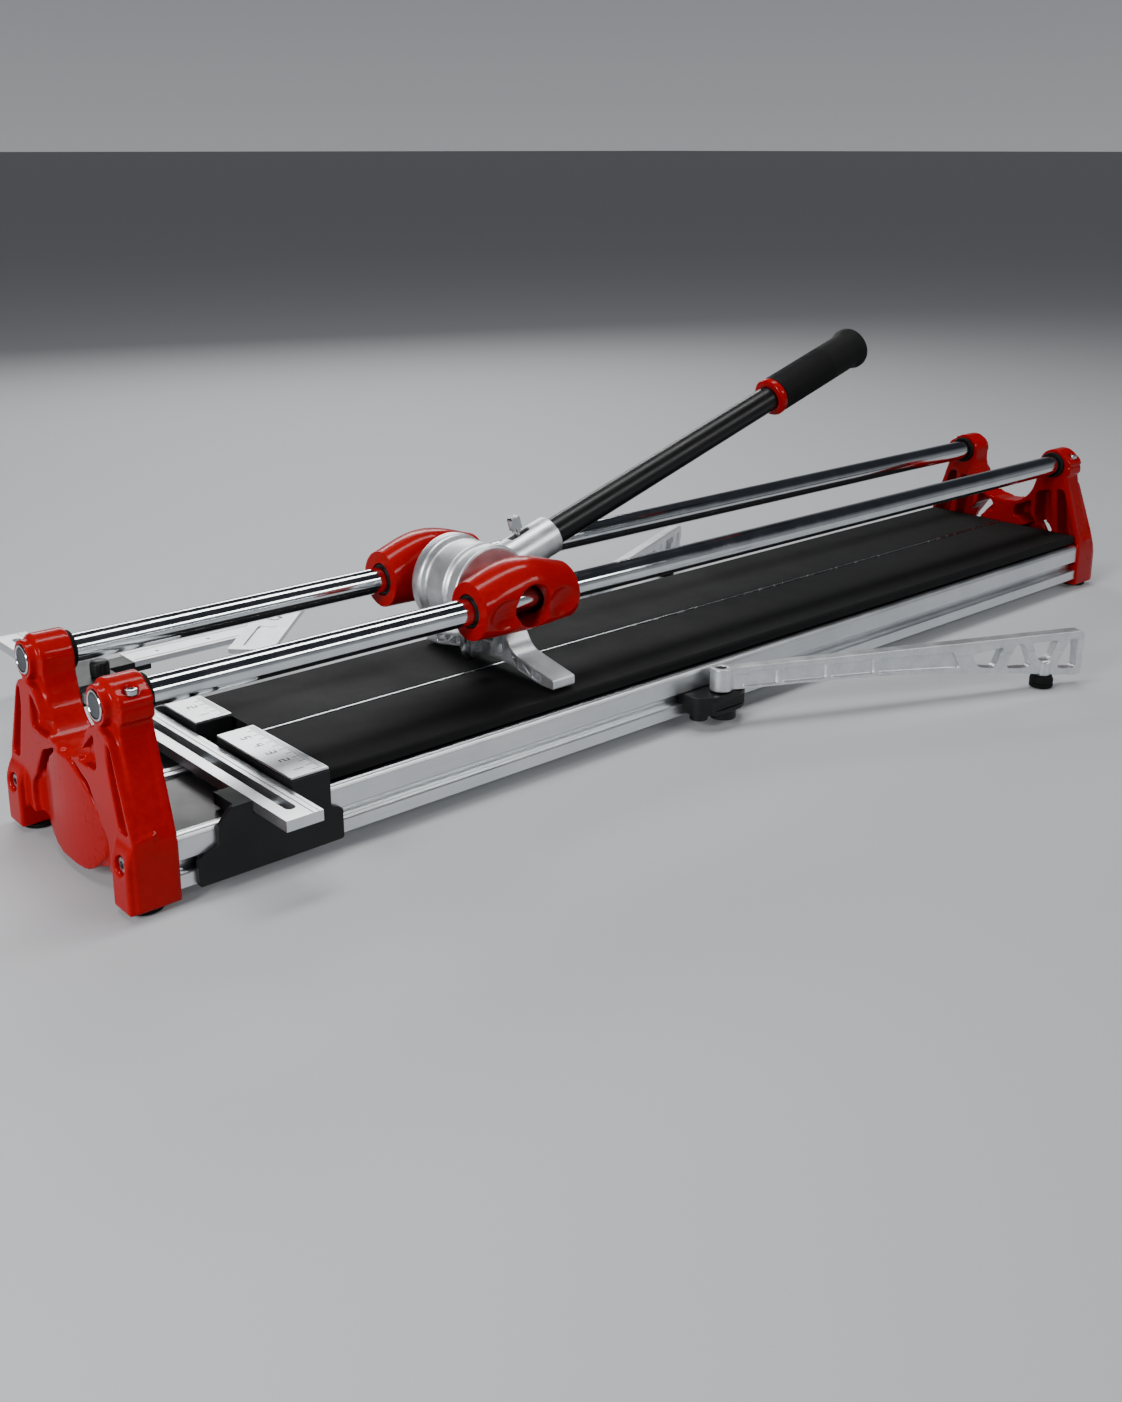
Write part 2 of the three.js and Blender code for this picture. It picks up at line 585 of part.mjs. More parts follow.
function buildStop() {
  const x0 = RULER_X0;
  const x1 = RULER_X0 + RULER_WIDTH;
  const barTop = STOP_BAR_Z0 + STOP_BAR_T;
  const y0 = STOP_Y - 16;
  const y1 = STOP_BAR_Y1 - 8;
  const body = shaped(
    alongZ(rounded([[x0 - 6, y0], [x1 + 8, y0], [x1 + 8, y1], [x0 - 6, y1]], 5), RULER_Z0 - 5, RULER_Z1 + 6, 3),
    [
      box(x1 + 1, STOP_BAR_X0 - FIT, STOP_BAR_Y0 - 2, STOP_BAR_Y1 - 10, RULER_Z0 - 4, barTop),
      box(x1 + 2, STOP_BAR_X0 + 18, STOP_BAR_Y0 + 2, STOP_BAR_Y1 - 11, RULER_Z0 - 4, STOP_BAR_Z0 - FIT),
    ],
    [
      box(x0 - FIT, x1 + FIT, STOP_Y - 20, STOP_BAR_Y1 + 2, RULER_Z0 - FIT, RULER_Z1 + FIT),
      rodZ(KNOB_STEM_R + FIT, RULER_Z1 + 1, RULER_Z1 + 8, KNOB_X, STOP_Y, SMALL_ROUND),
    ],
  );
  place('stop_slider', body, BLACK_PLASTIC);

  const under = RULER_Z1 + 6 + FIT;
  const knob = turned([[0, RULER_Z1 + 2], [KNOB_STEM_R, RULER_Z1 + 2], [KNOB_STEM_R, under],
    [KNOB_R - 1, under], [KNOB_R, under + 2], [KNOB_R, under + KNOB_HEIGHT - 3], [KNOB_R - 2.5, under + KNOB_HEIGHT],
    [0, under + KNOB_HEIGHT]], 16);
  place('stop_knob', knob.translate(KNOB_X, STOP_Y, 0), BLACK_PLASTIC);

  const midY = (STOP_BAR_Y0 + STOP_BAR_Y1) / 2;
  const pivotX = STOP_BAR_X1 - (STOP_BAR_Y1 - STOP_BAR_Y0) / 2;
  const outline = new THREE.Shape();
  outline.moveTo(STOP_BAR_X0, STOP_BAR_Y0);
  outline.lineTo(pivotX, STOP_BAR_Y0);
  outline.absarc(pivotX, midY, (STOP_BAR_Y1 - STOP_BAR_Y0) / 2, -Math.PI / 2, Math.PI / 2, false);
  outline.lineTo(STOP_BAR_X0, STOP_BAR_Y1);
  const plateTop = barTop + FIT + ANGLE_T;
  const stopBar = shaped(
    alongZ(outline, STOP_BAR_Z0, barTop, 12),
    [rodZ(ANGLE_PIN_R, barTop - 1, plateTop, pivotX, midY, SMALL_ROUND)],
    [],
  );
  place('stop_bar', stopBar, ALUMINIUM);

  const half = ANGLE_WIDTH / 2;
  const ends = [[-ANGLE_LONG, -half], [ANGLE_SHORT, -half], [ANGLE_SHORT, half], [-ANGLE_LONG, half]];
  const strip = rounded(ends, 2);
  const plate = shaped(
    alongZ(strip, 0, ANGLE_T, 2),
    [],
    [
      rodZ(ANGLE_PIN_R + FIT, -1, ANGLE_T + 1, 0, 0, SMALL_ROUND),
      box(-ANGLE_LONG + 14, -24, -half + 12, half - 12, ANGLE_T - 1.6, ANGLE_T + 1),
    ],
  );
  plate.rotateZ(Math.PI / 4);
  place('angle_plate', plate.translate(pivotX, midY, barTop + FIT), CAST_ALUMINIUM);
}

// ---- side arms -----------------------------------------------------------------------------
// Drawn straight along +X from the pivot, then swung out to the right.
function armGeometry() {
  const sweep = new THREE.Shape();
  sweep.moveTo(8, ARM_TOP_Z);
  sweep.lineTo(8, ARM_ROOT_Z0);
  sweep.lineTo(155, ARM_ROOT_Z0 - 2);
  sweep.quadraticCurveTo(250, 28, 352, 16);
  sweep.lineTo(ARM_LENGTH - 6, 10);
  sweep.quadraticCurveTo(ARM_LENGTH, 9.5, ARM_LENGTH, 16);
  sweep.lineTo(ARM_LENGTH, ARM_TOP_Z - 5);
  sweep.quadraticCurveTo(ARM_LENGTH, ARM_TOP_Z, ARM_LENGTH - 6, ARM_TOP_Z);
  const half = ARM_HALF;
  const web = ARM_WEB / 2;
  const windows = [
    [[276, 45], [312, 50], [303, 28], [283, 31]],
    [[326, 51], [336, 51], [347, 24], [317, 26]],
    [[345, 51], [378, 51], [368, 30], [356, 30]],
    [[390, 51], [400, 51], [400, 18], [378, 20]],
  ];
  const pockets = [
    [[20, 38.5], [58, 38], [58, 54], [28, 54]],
    [[63, 38], [111, 37.5], [111, 53], [63, 53.5]],
    [[116, 37.5], [164, 36.5], [164, 52], [116, 52.5]],
    [[169, 36.5], [262, 32], [252, 50], [169, 52]],
  ];
  const cuts = windows.map((points) => alongY(rounded(points, 3), -half - 1, half + 1, 2));
  pockets.forEach((points) => {
    cuts.push(alongY(rounded(points, 2), -half - 1, -web, 2));
    cuts.push(alongY(rounded(points, 2), web, half + 1, 2));
  });
  cuts.push(rodZ(ARM_POST_R + FIT, ARM_ROOT_Z0 - 1, ARM_TOP_Z + 1, 0, 0, SMALL_ROUND));
  cuts.push(rodZ(3.3, 0, 24, ARM_FOOT_AT, 0, SMALL_ROUND));
  return shaped(
    alongY(sweep, -half, half, 5),
    [
      rodZ(ARM_ROOT_R, ARM_ROOT_Z0, ARM_TOP_Z, 0, 0),
      box(0, 10, -half, half, ARM_ROOT_Z0, ARM_TOP_Z),
      rodZ(ARM_FOOT_BOSS_R, ARM_FOOT_BOSS_Z, 28, ARM_FOOT_AT, 0),
    ],
    cuts,
  );
}

function buildArms() {
  const swung = (geometry) => geometry.rotateZ(-ARM_ANGLE).translate(ARM_X, -ARM_Y, 0);
  placePair('side_arm', swung(armGeometry()), CAST_ALUMINIUM);

  const foot = turned([[0, 0], [ARM_FOOT_R - 1.5, 0], [ARM_FOOT_R, 1.5], [ARM_FOOT_R, 9],
    [ARM_FOOT_R - 2, ARM_FOOT_BOSS_Z - FIT], [3, ARM_FOOT_BOSS_Z - FIT], [3, 22], [0, 22]], 16);
  placePair('arm_foot', swung(foot.translate(ARM_FOOT_AT, 0, 0)), BLACK_RUBBER);

  const face = -BASE_HALF - FIT;
  const outline = rounded([[-34, face - 16], [-18, face - 30], [22, face - 30], [40, face - 12], [40, face],
    [-34, face]], 5);
  const bracket = shaped(
    alongZ(outline, 16, ARM_ROOT_Z0 - FIT - 1, 3),
    [
      box(-33, 39, -BASE_HALF - 1, -BASE_HALF + 6, GROOVE_Z0 + FIT, GROOVE_Z1 - FIT),
      rodZ(13, 6, ARM_ROOT_Z0 - FIT, 6, -ARM_Y + 2, 24),
      rodZ(ARM_POST_R, ARM_ROOT_Z0 - 2, ARM_TOP_Z - 1, 0, -ARM_Y, SMALL_ROUND),
    ],
    [],
  );
  placePair('arm_bracket', bracket.translate(ARM_X, 0, 0), BLACK_PLASTIC);
}

// ---- carriage ------------------------------------------------------------------------------
// One ring of the cover's outline in the (y, z) plane, for a station t from -1 to 1 along X.
function coverRing(t, facets) {
  const swell = Math.cos((t * Math.PI) / 2) ** 1.2;
  const top = COVER_END_R + (COVER_TOP - COVER_END_R) * swell;
  const out = COVER_END_R + (COVER_OUT - COVER_END_R) * swell;
  const ring = [];
  for (let i = 0; i < facets; i += 1) {
    const a = (i / facets) * Math.PI * 2;
    const c = Math.cos(a);
    const s = Math.sin(a);
    const across = c < 0 ? out : COVER_IN;
    const up = s > 0 ? top : COVER_BOTTOM;
    const square = 0.86;
    ring.push([across * Math.sign(c) * Math.abs(c) ** square, up * Math.sign(s) * Math.abs(s) ** square]);
  }
  return ring;
}

// A closed skin over a row of equal rings, each ring at its own X.
function skinned(stations) {
  const facets = stations[0].ring.length;
  const points = [];
  stations.forEach(({ x, ring }) => ring.forEach(([y, z]) => points.push(x, y, z)));
  const index = [];
  for (let k = 0; k < stations.length - 1; k += 1) {
    for (let i = 0; i < facets; i += 1) {
      const j = (i + 1) % facets;
      const a = k * facets + i;
      const b = k * facets + j;
      index.push(a, b, b + facets, a, b + facets, a + facets);
    }
  }
  const last = (stations.length - 1) * facets;
  for (let i = 1; i < facets - 1; i += 1) {
    index.push(0, i + 1, i);
    index.push(last, last + i, last + i + 1);
  }
  const geometry = new THREE.BufferGeometry();
  geometry.setAttribute('position', new THREE.Float32BufferAttribute(points, 3));
  geometry.setIndex(index);
  return geometry;
}

function coverGeometry() {
  const stations = [];
  const count = 10;
  for (let k = 0; k <= count; k += 1) {
    const t = -1 + (2 * k) / count;
    stations.push({ x: t * COVER_HALF, ring: coverRing(t, 22) });
  }
  const body = skinned(stations).translate(0, -RAIL_Y, RAIL_Z);
  const inner = -RAIL_Y + COVER_IN;
  return shaped(
    body,
    [rodY(24, inner - 10, -DRUM_HALF - FIT - 0.5, 0, RAIL_Z)],
    [
      rodX(BUSH_R + FIT, -COVER_HALF - 1, COVER_HALF + 1, -RAIL_Y, RAIL_Z),
      rodY(WINDOW_R, -RAIL_Y - COVER_OUT - 5, inner - 6, 0, RAIL_Z),
      rodY(SHAFT_R + FIT, inner - 3, -DRUM_HALF + 1, 0, RAIL_Z, 24),
    ],
  );
}

function buildCarriage() {
  const at = (geometry) => geometry.translate(CARRIAGE_X, 0, 0);
  placePair('slide_cover', at(coverGeometry()), RED);

  const bush = (x0, x1) => shaped(
    rodX(BUSH_R, x0, x1, -RAIL_Y, RAIL_Z),
    [],
    [rodX(RAIL_R + FIT, x0 - 1, x1 + 1, -RAIL_Y, RAIL_Z)],
  );
  placePair('slide_bush_front', at(bush(COVER_HALF - 1 - BUSH_LENGTH, COVER_HALF - 1)), BLACK_PLASTIC);
  placePair('slide_bush_rear', at(bush(-COVER_HALF + 1, -COVER_HALF + 1 + BUSH_LENGTH)), BLACK_PLASTIC);
  const shaftHalf = RAIL_Y - COVER_IN + 2;
  place('pivot_shaft', at(rodY(SHAFT_R, -shaftHalf, shaftHalf, 0, RAIL_Z, 24)), STEEL);
}

// ---- lever ---------------------------------------------------------------------------------
// Lever pieces are drawn level along +X with the pivot at zero, then tilted about it.
function tilted(geometry) {
  return geometry.rotateY(-LEVER_ANGLE).translate(CARRIAGE_X, 0, RAIL_Z);
}

function below(degreesAhead, reach) {
  const a = THREE.MathUtils.degToRad(degreesAhead);
  return [reach * Math.sin(a), -reach * Math.cos(a)];
}

function buildLever() {
  const r = SOCKET_R;
  const wheelZ = -WHEEL_REACH;
  const [hingeX, hingeZ] = below(BREAKER_AHEAD, BREAKER_REACH);
  const holderHalf = HOLDER_WIDTH / 2;
  const waistRing = shaped(
    rodY(DRUM_R + 5, -WAIST_HALF, WAIST_HALF, 0, 0, DRUM_ROUND),
    [],
    [rodY(WAIST_R, -WAIST_HALF - 1, WAIST_HALF + 1, 0, 0, DRUM_ROUND)],
  );
  const waist = shaped(rodY(DRUM_R, -DRUM_HALF, DRUM_HALF, 0, 0, DRUM_ROUND), [], [waistRing]);
  waist.rotateY(-LEVER_ANGLE);
  const socket = rodX(r, 20, SOCKET_END, 0, 0).rotateY(-LEVER_ANGLE);
  const saddleHalf = WAIST_HALF + 6;
  const saddle = box(20, 52, -saddleHalf, saddleHalf, -r + 1, r + 3).rotateY(-LEVER_ANGLE);
  const lug = alongY(rounded([[hingeX - 9, hingeZ + 25], [hingeX - 9, hingeZ - 8], [hingeX + 9, hingeZ - 8],
    [hingeX + 9, hingeZ + 25]], 4), -9, 9, 3);
  const head = shaped(
    waist,
    [socket, saddle, lug],
    [
      rodY(SHAFT_R + FIT, -DRUM_HALF - 1, DRUM_HALF + 1, 0, 0, 24),
      rodX(TUBE_R + FIT, TUBE_START - 2, SOCKET_END + 1, 0, 0).rotateY(-LEVER_ANGLE),
      rodZ(CLAMP_STEM_R + FIT, TUBE_R - 2, SOCKET_R + 5, CLAMP_AT, 0, SMALL_ROUND).rotateY(-LEVER_ANGLE),
      box(-HOLDER_BACK, HOLDER_AHEAD, -holderHalf - FIT, holderHalf + FIT, -DRUM_R - 4, -DRUM_R + 14),
      rodY(BREAKER_PIN_R + FIT, -10, 10, hingeX, hingeZ, SMALL_ROUND),
    ],
  );
  place('lever_head', head.translate(CARRIAGE_X, 0, RAIL_Z), CAST_ALUMINIUM);

  const cheek = rounded([[-7, wheelZ - 5], [7, wheelZ - 5], [HOLDER_AHEAD - 2, -DRUM_R - 1],
    [-HOLDER_BACK + 2, -DRUM_R - 1]], 2);
  const holder = shaped(
    box(-HOLDER_BACK + FIT, HOLDER_AHEAD - FIT, -holderHalf, holderHalf, -DRUM_R - 2, -DRUM_R + 14 - FIT),
    [alongY(cheek, -holderHalf, holderHalf, 2)],
    [
      box(-WHEEL_R - 3, WHEEL_R + 3, -WHEEL_WIDTH / 2 - FIT, WHEEL_WIDTH / 2 + FIT, wheelZ - 20,
        wheelZ + WHEEL_R + 1.5),
      rodY(WHEEL_PIN_R + FIT, -HOLDER_WIDTH, HOLDER_WIDTH, 0, wheelZ, SMALL_ROUND),
    ],
  );
  place('wheel_holder', holder.translate(CARRIAGE_X, 0, RAIL_Z), STEEL);

  const wheelHalf = WHEEL_WIDTH / 2;
  const wheel = turned([[0, -holderHalf], [WHEEL_PIN_R, -holderHalf], [WHEEL_PIN_R, -wheelHalf],
    [WHEEL_R - 3, -wheelHalf], [WHEEL_R, 0], [WHEEL_R - 3, wheelHalf], [WHEEL_PIN_R, wheelHalf],
    [WHEEL_PIN_R, holderHalf], [0, holderHalf]], 16);
  wheel.rotateX(Math.PI / 2);
  place('scoring_wheel', wheel.translate(CARRIAGE_X, 0, RAIL_Z + wheelZ), STEEL);

  const tube = shaped(
    rodX(TUBE_R, TUBE_START, GRIP_END - 6, 0, 0, 28),
    [],
    [rodX(TUBE_R - TUBE_WALL, TUBE_START - 1, GRIP_END, 0, 0, 28)],
  );
  place('lever_tube', tilted(tube), BLACK_PAINT);

  const collar = turned([[TUBE_R + FIT, 0], [GRIP_R - 1, 0], [GRIP_R + 0.5, 2],
    [GRIP_R + 0.5, COLLAR_LENGTH - 2], [GRIP_R - 1, COLLAR_LENGTH], [TUBE_R + FIT, COLLAR_LENGTH], [TUBE_R + FIT, 0]]);
  collar.rotateY(Math.PI / 2);
  place('lever_collar', tilted(collar.translate(COLLAR_AT, 0, 0)), RED);

  const gripStart = COLLAR_AT + COLLAR_LENGTH + FIT;
  const gripLength = GRIP_END - gripStart;
  const grip = turned([[TUBE_R + FIT, 0], [GRIP_R - 1, 0], [GRIP_R, 1.5], [GRIP_R, gripLength - 12],
    [GRIP_FLANGE_R, gripLength - 8], [GRIP_FLANGE_R, gripLength - 3], [GRIP_FLANGE_R - 3, gripLength],
    [0, gripLength], [0, gripLength - 5], [TUBE_R + FIT, gripLength - 5], [TUBE_R + FIT, 0]]);
  grip.rotateY(Math.PI / 2);
  place('lever_grip', tilted(grip.translate(gripStart, 0, 0)), BLACK_RUBBER);

  const clampX = CLAMP_AT;
  const clamp = shaped(
    rodZ(CLAMP_STEM_R, TUBE_R + FIT, SOCKET_R + 8, clampX, 0, SMALL_ROUND),
    [alongY(rounded([[clampX - 5, SOCKET_R + 5], [clampX + 5, SOCKET_R + 5], [clampX + 5, SOCKET_R + 18],
      [clampX - 5, SOCKET_R + 18]], 2), -3.5, 3.5, 2)],
    [],
  );
  place('tube_clamp_screw', tilted(clamp), STEEL);
  buildBreaker(hingeX, hingeZ);
}

function buildBreaker(hingeX, hingeZ) {
  const x = CARRIAGE_X + hingeX;
  const z = RAIL_Z + hingeZ;
  const z0 = BREAKER_Z0;
  const tip = BREAKER_HALF;
  const front = polygon([[-tip, z0], [-tip + 20, z0], [-28, z0 + 9], [28, z0 + 9], [tip - 20, z0], [tip, z0],
    [tip, z0 + 9], [38, z0 + 21], [26, z + 6], [-26, z + 6], [-38, z0 + 21], [-tip, z0 + 9]]);
  const pocket = (y0, y1, z1) => box(x + 3, x + 30, y0, y1, z0 + 11, z1);
  const foot = shaped(
    alongX(front, x - BREAKER_DEPTH / 2, x + BREAKER_DEPTH / 2, 2),
    [],
    [
      box(x - 30, x + 30, -9 - FIT, 9 + FIT, z - 10, z + 40),
      pocket(-34, -14, z - 4),
      pocket(14, 34, z - 4),
      pocket(-56, -38, z0 + 30),
      pocket(38, 56, z0 + 30),
      box(x - 30, x - 3, -52, -14, z0 + 12, z - 5),
      box(x - 30, x - 3, 14, 52, z0 + 12, z - 5),
    ],
  );
  const pin = rodY(BREAKER_PIN_R, -14, 14, x, z, SMALL_ROUND);
  place('breaker_foot', toGeometry(toSolid(foot).add(toSolid(pin))), CAST_ALUMINIUM);
}

buildFrames();
buildRails();
buildBase();
buildRuler();
buildArms();
buildCarriage();
buildLever();

assembly.position.set(-LENGTH / 2, -SIDE_SHIFT, 0);
const group = new THREE.Group();
group.name = 'tile_cutter_root';
group.add(assembly);
export default group;
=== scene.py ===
import json
import math

import bmesh
import bpy
from mathutils import Matrix, Vector

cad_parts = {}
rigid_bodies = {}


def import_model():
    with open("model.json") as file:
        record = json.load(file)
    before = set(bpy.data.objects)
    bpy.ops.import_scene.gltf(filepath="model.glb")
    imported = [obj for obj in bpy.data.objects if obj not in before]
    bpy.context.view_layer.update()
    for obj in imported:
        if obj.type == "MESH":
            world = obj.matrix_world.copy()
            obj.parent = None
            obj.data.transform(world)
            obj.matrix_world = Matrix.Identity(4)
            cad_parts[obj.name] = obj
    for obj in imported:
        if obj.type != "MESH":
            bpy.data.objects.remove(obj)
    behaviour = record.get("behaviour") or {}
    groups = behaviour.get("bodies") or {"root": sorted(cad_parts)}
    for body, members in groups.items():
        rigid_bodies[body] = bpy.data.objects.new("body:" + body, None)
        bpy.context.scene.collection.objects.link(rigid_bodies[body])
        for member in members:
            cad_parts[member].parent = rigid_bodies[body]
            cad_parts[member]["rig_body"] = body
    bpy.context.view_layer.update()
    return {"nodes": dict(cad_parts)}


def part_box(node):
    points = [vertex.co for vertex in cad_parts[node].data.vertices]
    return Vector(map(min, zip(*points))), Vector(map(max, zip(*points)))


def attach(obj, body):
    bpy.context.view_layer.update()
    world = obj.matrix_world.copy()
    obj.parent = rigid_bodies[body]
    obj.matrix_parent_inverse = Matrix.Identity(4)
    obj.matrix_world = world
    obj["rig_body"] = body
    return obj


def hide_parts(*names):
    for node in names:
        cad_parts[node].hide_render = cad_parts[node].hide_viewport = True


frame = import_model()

# A manual tile cutter: enamelled end frames, chromed rails, a rolling carriage with its lever,
# and an extruded base with rubber-faced tables, a ruler and two swing-out arms.
# Shapes are drawn in millimetres on the bench: X from the near end, Y from the cutting line,
# Z up from the floor. They are set into the frame from the rails' own boxes.
RIGHT_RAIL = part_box("guide_rail_right")
LEFT_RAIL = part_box("guide_rail_left")
RAIL_SET_IN = 0.0005  # the rails end this far inside the end frames' faces
NEAR_X = RIGHT_RAIL[0].x - RAIL_SET_IN
CUT_Y = (RIGHT_RAIL[0].y + LEFT_RAIL[1].y) / 2
PLACE = Matrix.Translation((NEAR_X, CUT_Y, 0)) @ Matrix.Scale(0.001, 4)

HALF_PI = math.pi / 2
SHARP = math.radians(42)

LENGTH = 1325.0  # over both end frames
FRAME_DEPTH = 36.5  # of each end frame, along the rails
HEAD_SCREW = (22, 84)  # X and Y of the screw that clamps a frame's head
LEG_BOLT = (98, 41)  # Y and Z of the bolt in a frame's leg
FOOT_AT = (14, 96)  # X and Y of a frame's foot
BASE_HALF = 110.0  # half the base's width
SIDE_FACE = -110.3  # of a fitting that lies against the base's right side
GRIPPED = (24.8, 34.7)  # bottom and top of a tongue in the base's side groove
DECK_Z = 54.0  # the base's deck, under the tables
TABLE_SPAN = (171, 1285)  # of the pads and the rib
PLATE_TOP = 75.0  # of the scale plates

RAIL_Y = 66.0
RAIL_Z = 154.5
PIVOT_X = 398.0
WINDOW = 19.5  # radius of the slide cover's window
LEVER_TILT = math.radians(17.4)
TILT = Matrix.Rotation(-LEVER_TILT, 4, "Y")
LEVER = Matrix.Translation((PIVOT_X, 0, RAIL_Z)) @ TILT
HINGE_REACH = 58.0
HINGE_ANGLE = math.radians(33)
HINGE_X = PIVOT_X + HINGE_REACH * math.sin(HINGE_ANGLE)
HINGE_Z = RAIL_Z - HINGE_REACH * math.cos(HINGE_ANGLE)
WHEEL_Z = RAIL_Z - 64
CLAMP_AT = 66  # of the clamp screw, along the lever from its pivot

ARM_X = 605.0
ARM_Y = 128.0
ARM_SWING = math.radians(24)
ARM_FOOT_AT = 364  # of the arm's foot, along the arm from its pivot

# ---- finishes ------------------------------------------------------------------------------
GRAIN_SHARE = 0.4  # how much of a finish's tone follows its grain, and not its slow wear


def lin(hex_colour):
    """An sRGB hex colour as linear RGBA."""
    channels = [int(hex_colour[i:i + 2], 16) / 255 for i in (0, 2, 4)]
    return [c / 12.92 if c <= 0.04045 else ((c + 0.055) / 1.055) ** 2.4 for c in channels] + [1.0]


def add(tree, kind, **inputs):
    """A shader node with its inputs set or linked."""
    node = tree.nodes.new("ShaderNode" + kind)
    for key, value in inputs.items():
        socket = node.inputs[key.replace("_", " ")]
        if isinstance(value, bpy.types.NodeSocket):
            tree.links.new(value, socket)
        else:
            socket.default_value = value
    return node


def ramp(tree, value, low, high):
    """The colour between two (position, hex) stops at a value."""
    node = add(tree, "ValToRGB", Fac=value)
    for stop, (position, hex_colour) in zip(node.color_ramp.elements, (low, high)):
        stop.position = position
        stop.color = lin(hex_colour)
    return node.outputs["Color"]


def finish(name, dark, light, rough, grain_mm, bump_mm, metallic=0.0, coat=0.0, wear_mm=60.0,
           wear_rough=0.06, specular=0.5, detail=4.0):
    """A finish: a grain of the given size in mm along X, Y and Z, over slow wear."""
    material = bpy.data.materials.new(name)
    material.use_nodes = True
    tree = material.node_tree
    tree.nodes.clear()
    where = add(tree, "TexCoord").outputs["Object"]
    sized = add(tree, "Mapping", Vector=where, Scale=[1000 / g for g in grain_mm])
    grain = add(tree, "TexNoise", Vector=sized.outputs["Vector"], Scale=1.0, Detail=detail,
                Roughness=0.6)
    slow = add(tree, "TexNoise", Vector=where, Scale=1000 / wear_mm, Detail=5.0, Roughness=0.62)
    both = add(tree, "Mix", Factor=GRAIN_SHARE, A=slow.outputs["Fac"], B=grain.outputs["Fac"])
    tone = ramp(tree, both.outputs["Result"], (0.36, dark), (0.64, light))
    dull = add(tree, "MapRange", Value=both.outputs["Result"], From_Min=0.35, From_Max=0.65,
               To_Min=max(rough - wear_rough, 0.02), To_Max=rough + wear_rough)
    bump = add(tree, "Bump", Height=grain.outputs["Fac"], Strength=1.0, Distance=bump_mm / 1000)
    shader = add(tree, "BsdfPrincipled", Base_Color=tone, Metallic=metallic,
                 Roughness=dull.outputs["Result"], Normal=bump.outputs["Normal"],
                 Coat_Weight=coat, Coat_Roughness=0.05, Specular_IOR_Level=specular)
    add(tree, "OutputMaterial", Surface=shader.outputs["BSDF"])
    return material


FINISH = {
    # Die-cast zinc or aluminium under stoved red enamel: a deep wet gloss with faint orange peel.
    "red_enamel": finish("stoved_red_enamel", "940003", "a20104", 0.3, (4.5, 4.5, 4.5), 0.03,
                         coat=0.2, wear_mm=60, wear_rough=0.03, specular=0.06, detail=1.0),
    # Hard-chromed ground steel tube: mirror bright, with drawing marks along its length.
    "chromed_steel": finish("hard_chromed_steel", "c9cdd0", "dfe2e4", 0.11, (120, 1.1, 1.1), 0.004,
                            metallic=1.0, wear_mm=30, wear_rough=0.05),
    # Extruded aluminium, satin anodised: die lines run the length of the profile.
    "extruded_aluminium": finish("satin_anodised_aluminium", "cfd2d5", "e2e4e6", 0.34,
                                 (160, 0.9, 0.9), 0.012, metallic=1.0, wear_mm=70),
    # Aluminium casting, tumbled: a soft, slightly mottled satin.
    "cast_aluminium": finish("tumbled_cast_aluminium", "cdcfd3", "e6e8ea", 0.4, (1.8, 1.8, 1.8),
                             0.04, metallic=0.9, wear_mm=18),
    # Turned and ground steel with a zinc flash.
    "bright_steel": finish("zinc_plated_steel", "a7aaae", "c6c9cc", 0.24, (0.8, 0.8, 0.8), 0.01,
                           metallic=1.0, wear_mm=9),
    # Glass-filled nylon, moulded: black with a fine spark-eroded texture.
    "black_plastic": finish("moulded_black_nylon", "08090a", "121314", 0.45, (0.9, 0.9, 0.9), 0.03,
                            wear_mm=25, wear_rough=0.08, specular=0.3),
    # Natural rubber sheet, moulded matt: near black with a fine pebble.
    "black_rubber": finish("matt_black_rubber", "050506", "0c0c0d", 0.72, (1.4, 1.4, 1.4), 0.06,
                           wear_mm=90, wear_rough=0.08, specular=0.2),
    # Moulded polyethylene plug, dark grey with a bloom.
    "grey_plastic": finish("moulded_grey_polyethylene", "34373b", "464a4f", 0.5, (1.2, 1.2, 1.2),
                           0.03, wear_mm=10),
    # Powder coat on steel tube: black, semi-gloss, with a fine orange peel. The same black is laid
    # on the base's bare deck as painted shade.
    "black_paint": finish("black_powder_coat_and_deck_shade", "08080a", "111112", 0.36, (1.5, 1.5, 1.5), 0.03,
                          wear_mm=40, wear_rough=0.07, specular=0.25),
}
# Screen-printed ink: flat black film on the scale plates.
INK = finish("black_screen_ink", "050505", "101010", 0.55, (0.5, 0.5, 0.5), 0.004)

# ---- shapes, as bmeshes in millimetres --------------------------------------------------------
# Turns a shape drawn in X and Y and pushed along Z, so that it is pushed along the named axis.
LAY = {
    "x": Matrix(((0, 0, 1, 0), (1, 0, 0, 0), (0, 1, 0, 0), (0, 0, 0, 1))),
    "y": Matrix(((1, 0, 0, 0), (0, 0, 1, 0), (0, 1, 0, 0), (0, 0, 0, 1))),
    "z": Matrix.Identity(4),
}


def linked(name, data):
    """A new object in the scene."""
    made = bpy.data.objects.new(name, data)
    bpy.context.scene.collection.objects.link(made)
    return made


def facing_out(bm):
    """The same shape, with every face pointing outwards."""
    bmesh.ops.recalc_face_normals(bm, faces=bm.faces[:])
    return bm


def moved(bm, matrix):
    """The same shape, moved."""
    bmesh.ops.transform(bm, matrix=matrix, verts=bm.verts[:])
    return facing_out(bm) if matrix.determinant() < 0 else bm


def shift(x, y, z):
    """A move without a turn."""
    return Matrix.Translation((x, y, z))


def flipped(bm, sx=1, sy=1):
    """A mirror image."""
    return moved(bm.copy(), Matrix.Diagonal((sx, sy, 1, 1)))


def to_far(bm):
    """The piece's mirror image at the far end."""
    return moved(flipped(bm, -1, 1), shift(LENGTH, 0, 0))


def together(*shapes):
    """Several shapes in one bmesh, as separate shells."""
    whole = bmesh.new()
    for bm in shapes:
        mesh = bpy.data.meshes.new("part")
        bm.to_mesh(mesh)
        whole.from_mesh(mesh)
        bpy.data.meshes.remove(mesh)
    return whole


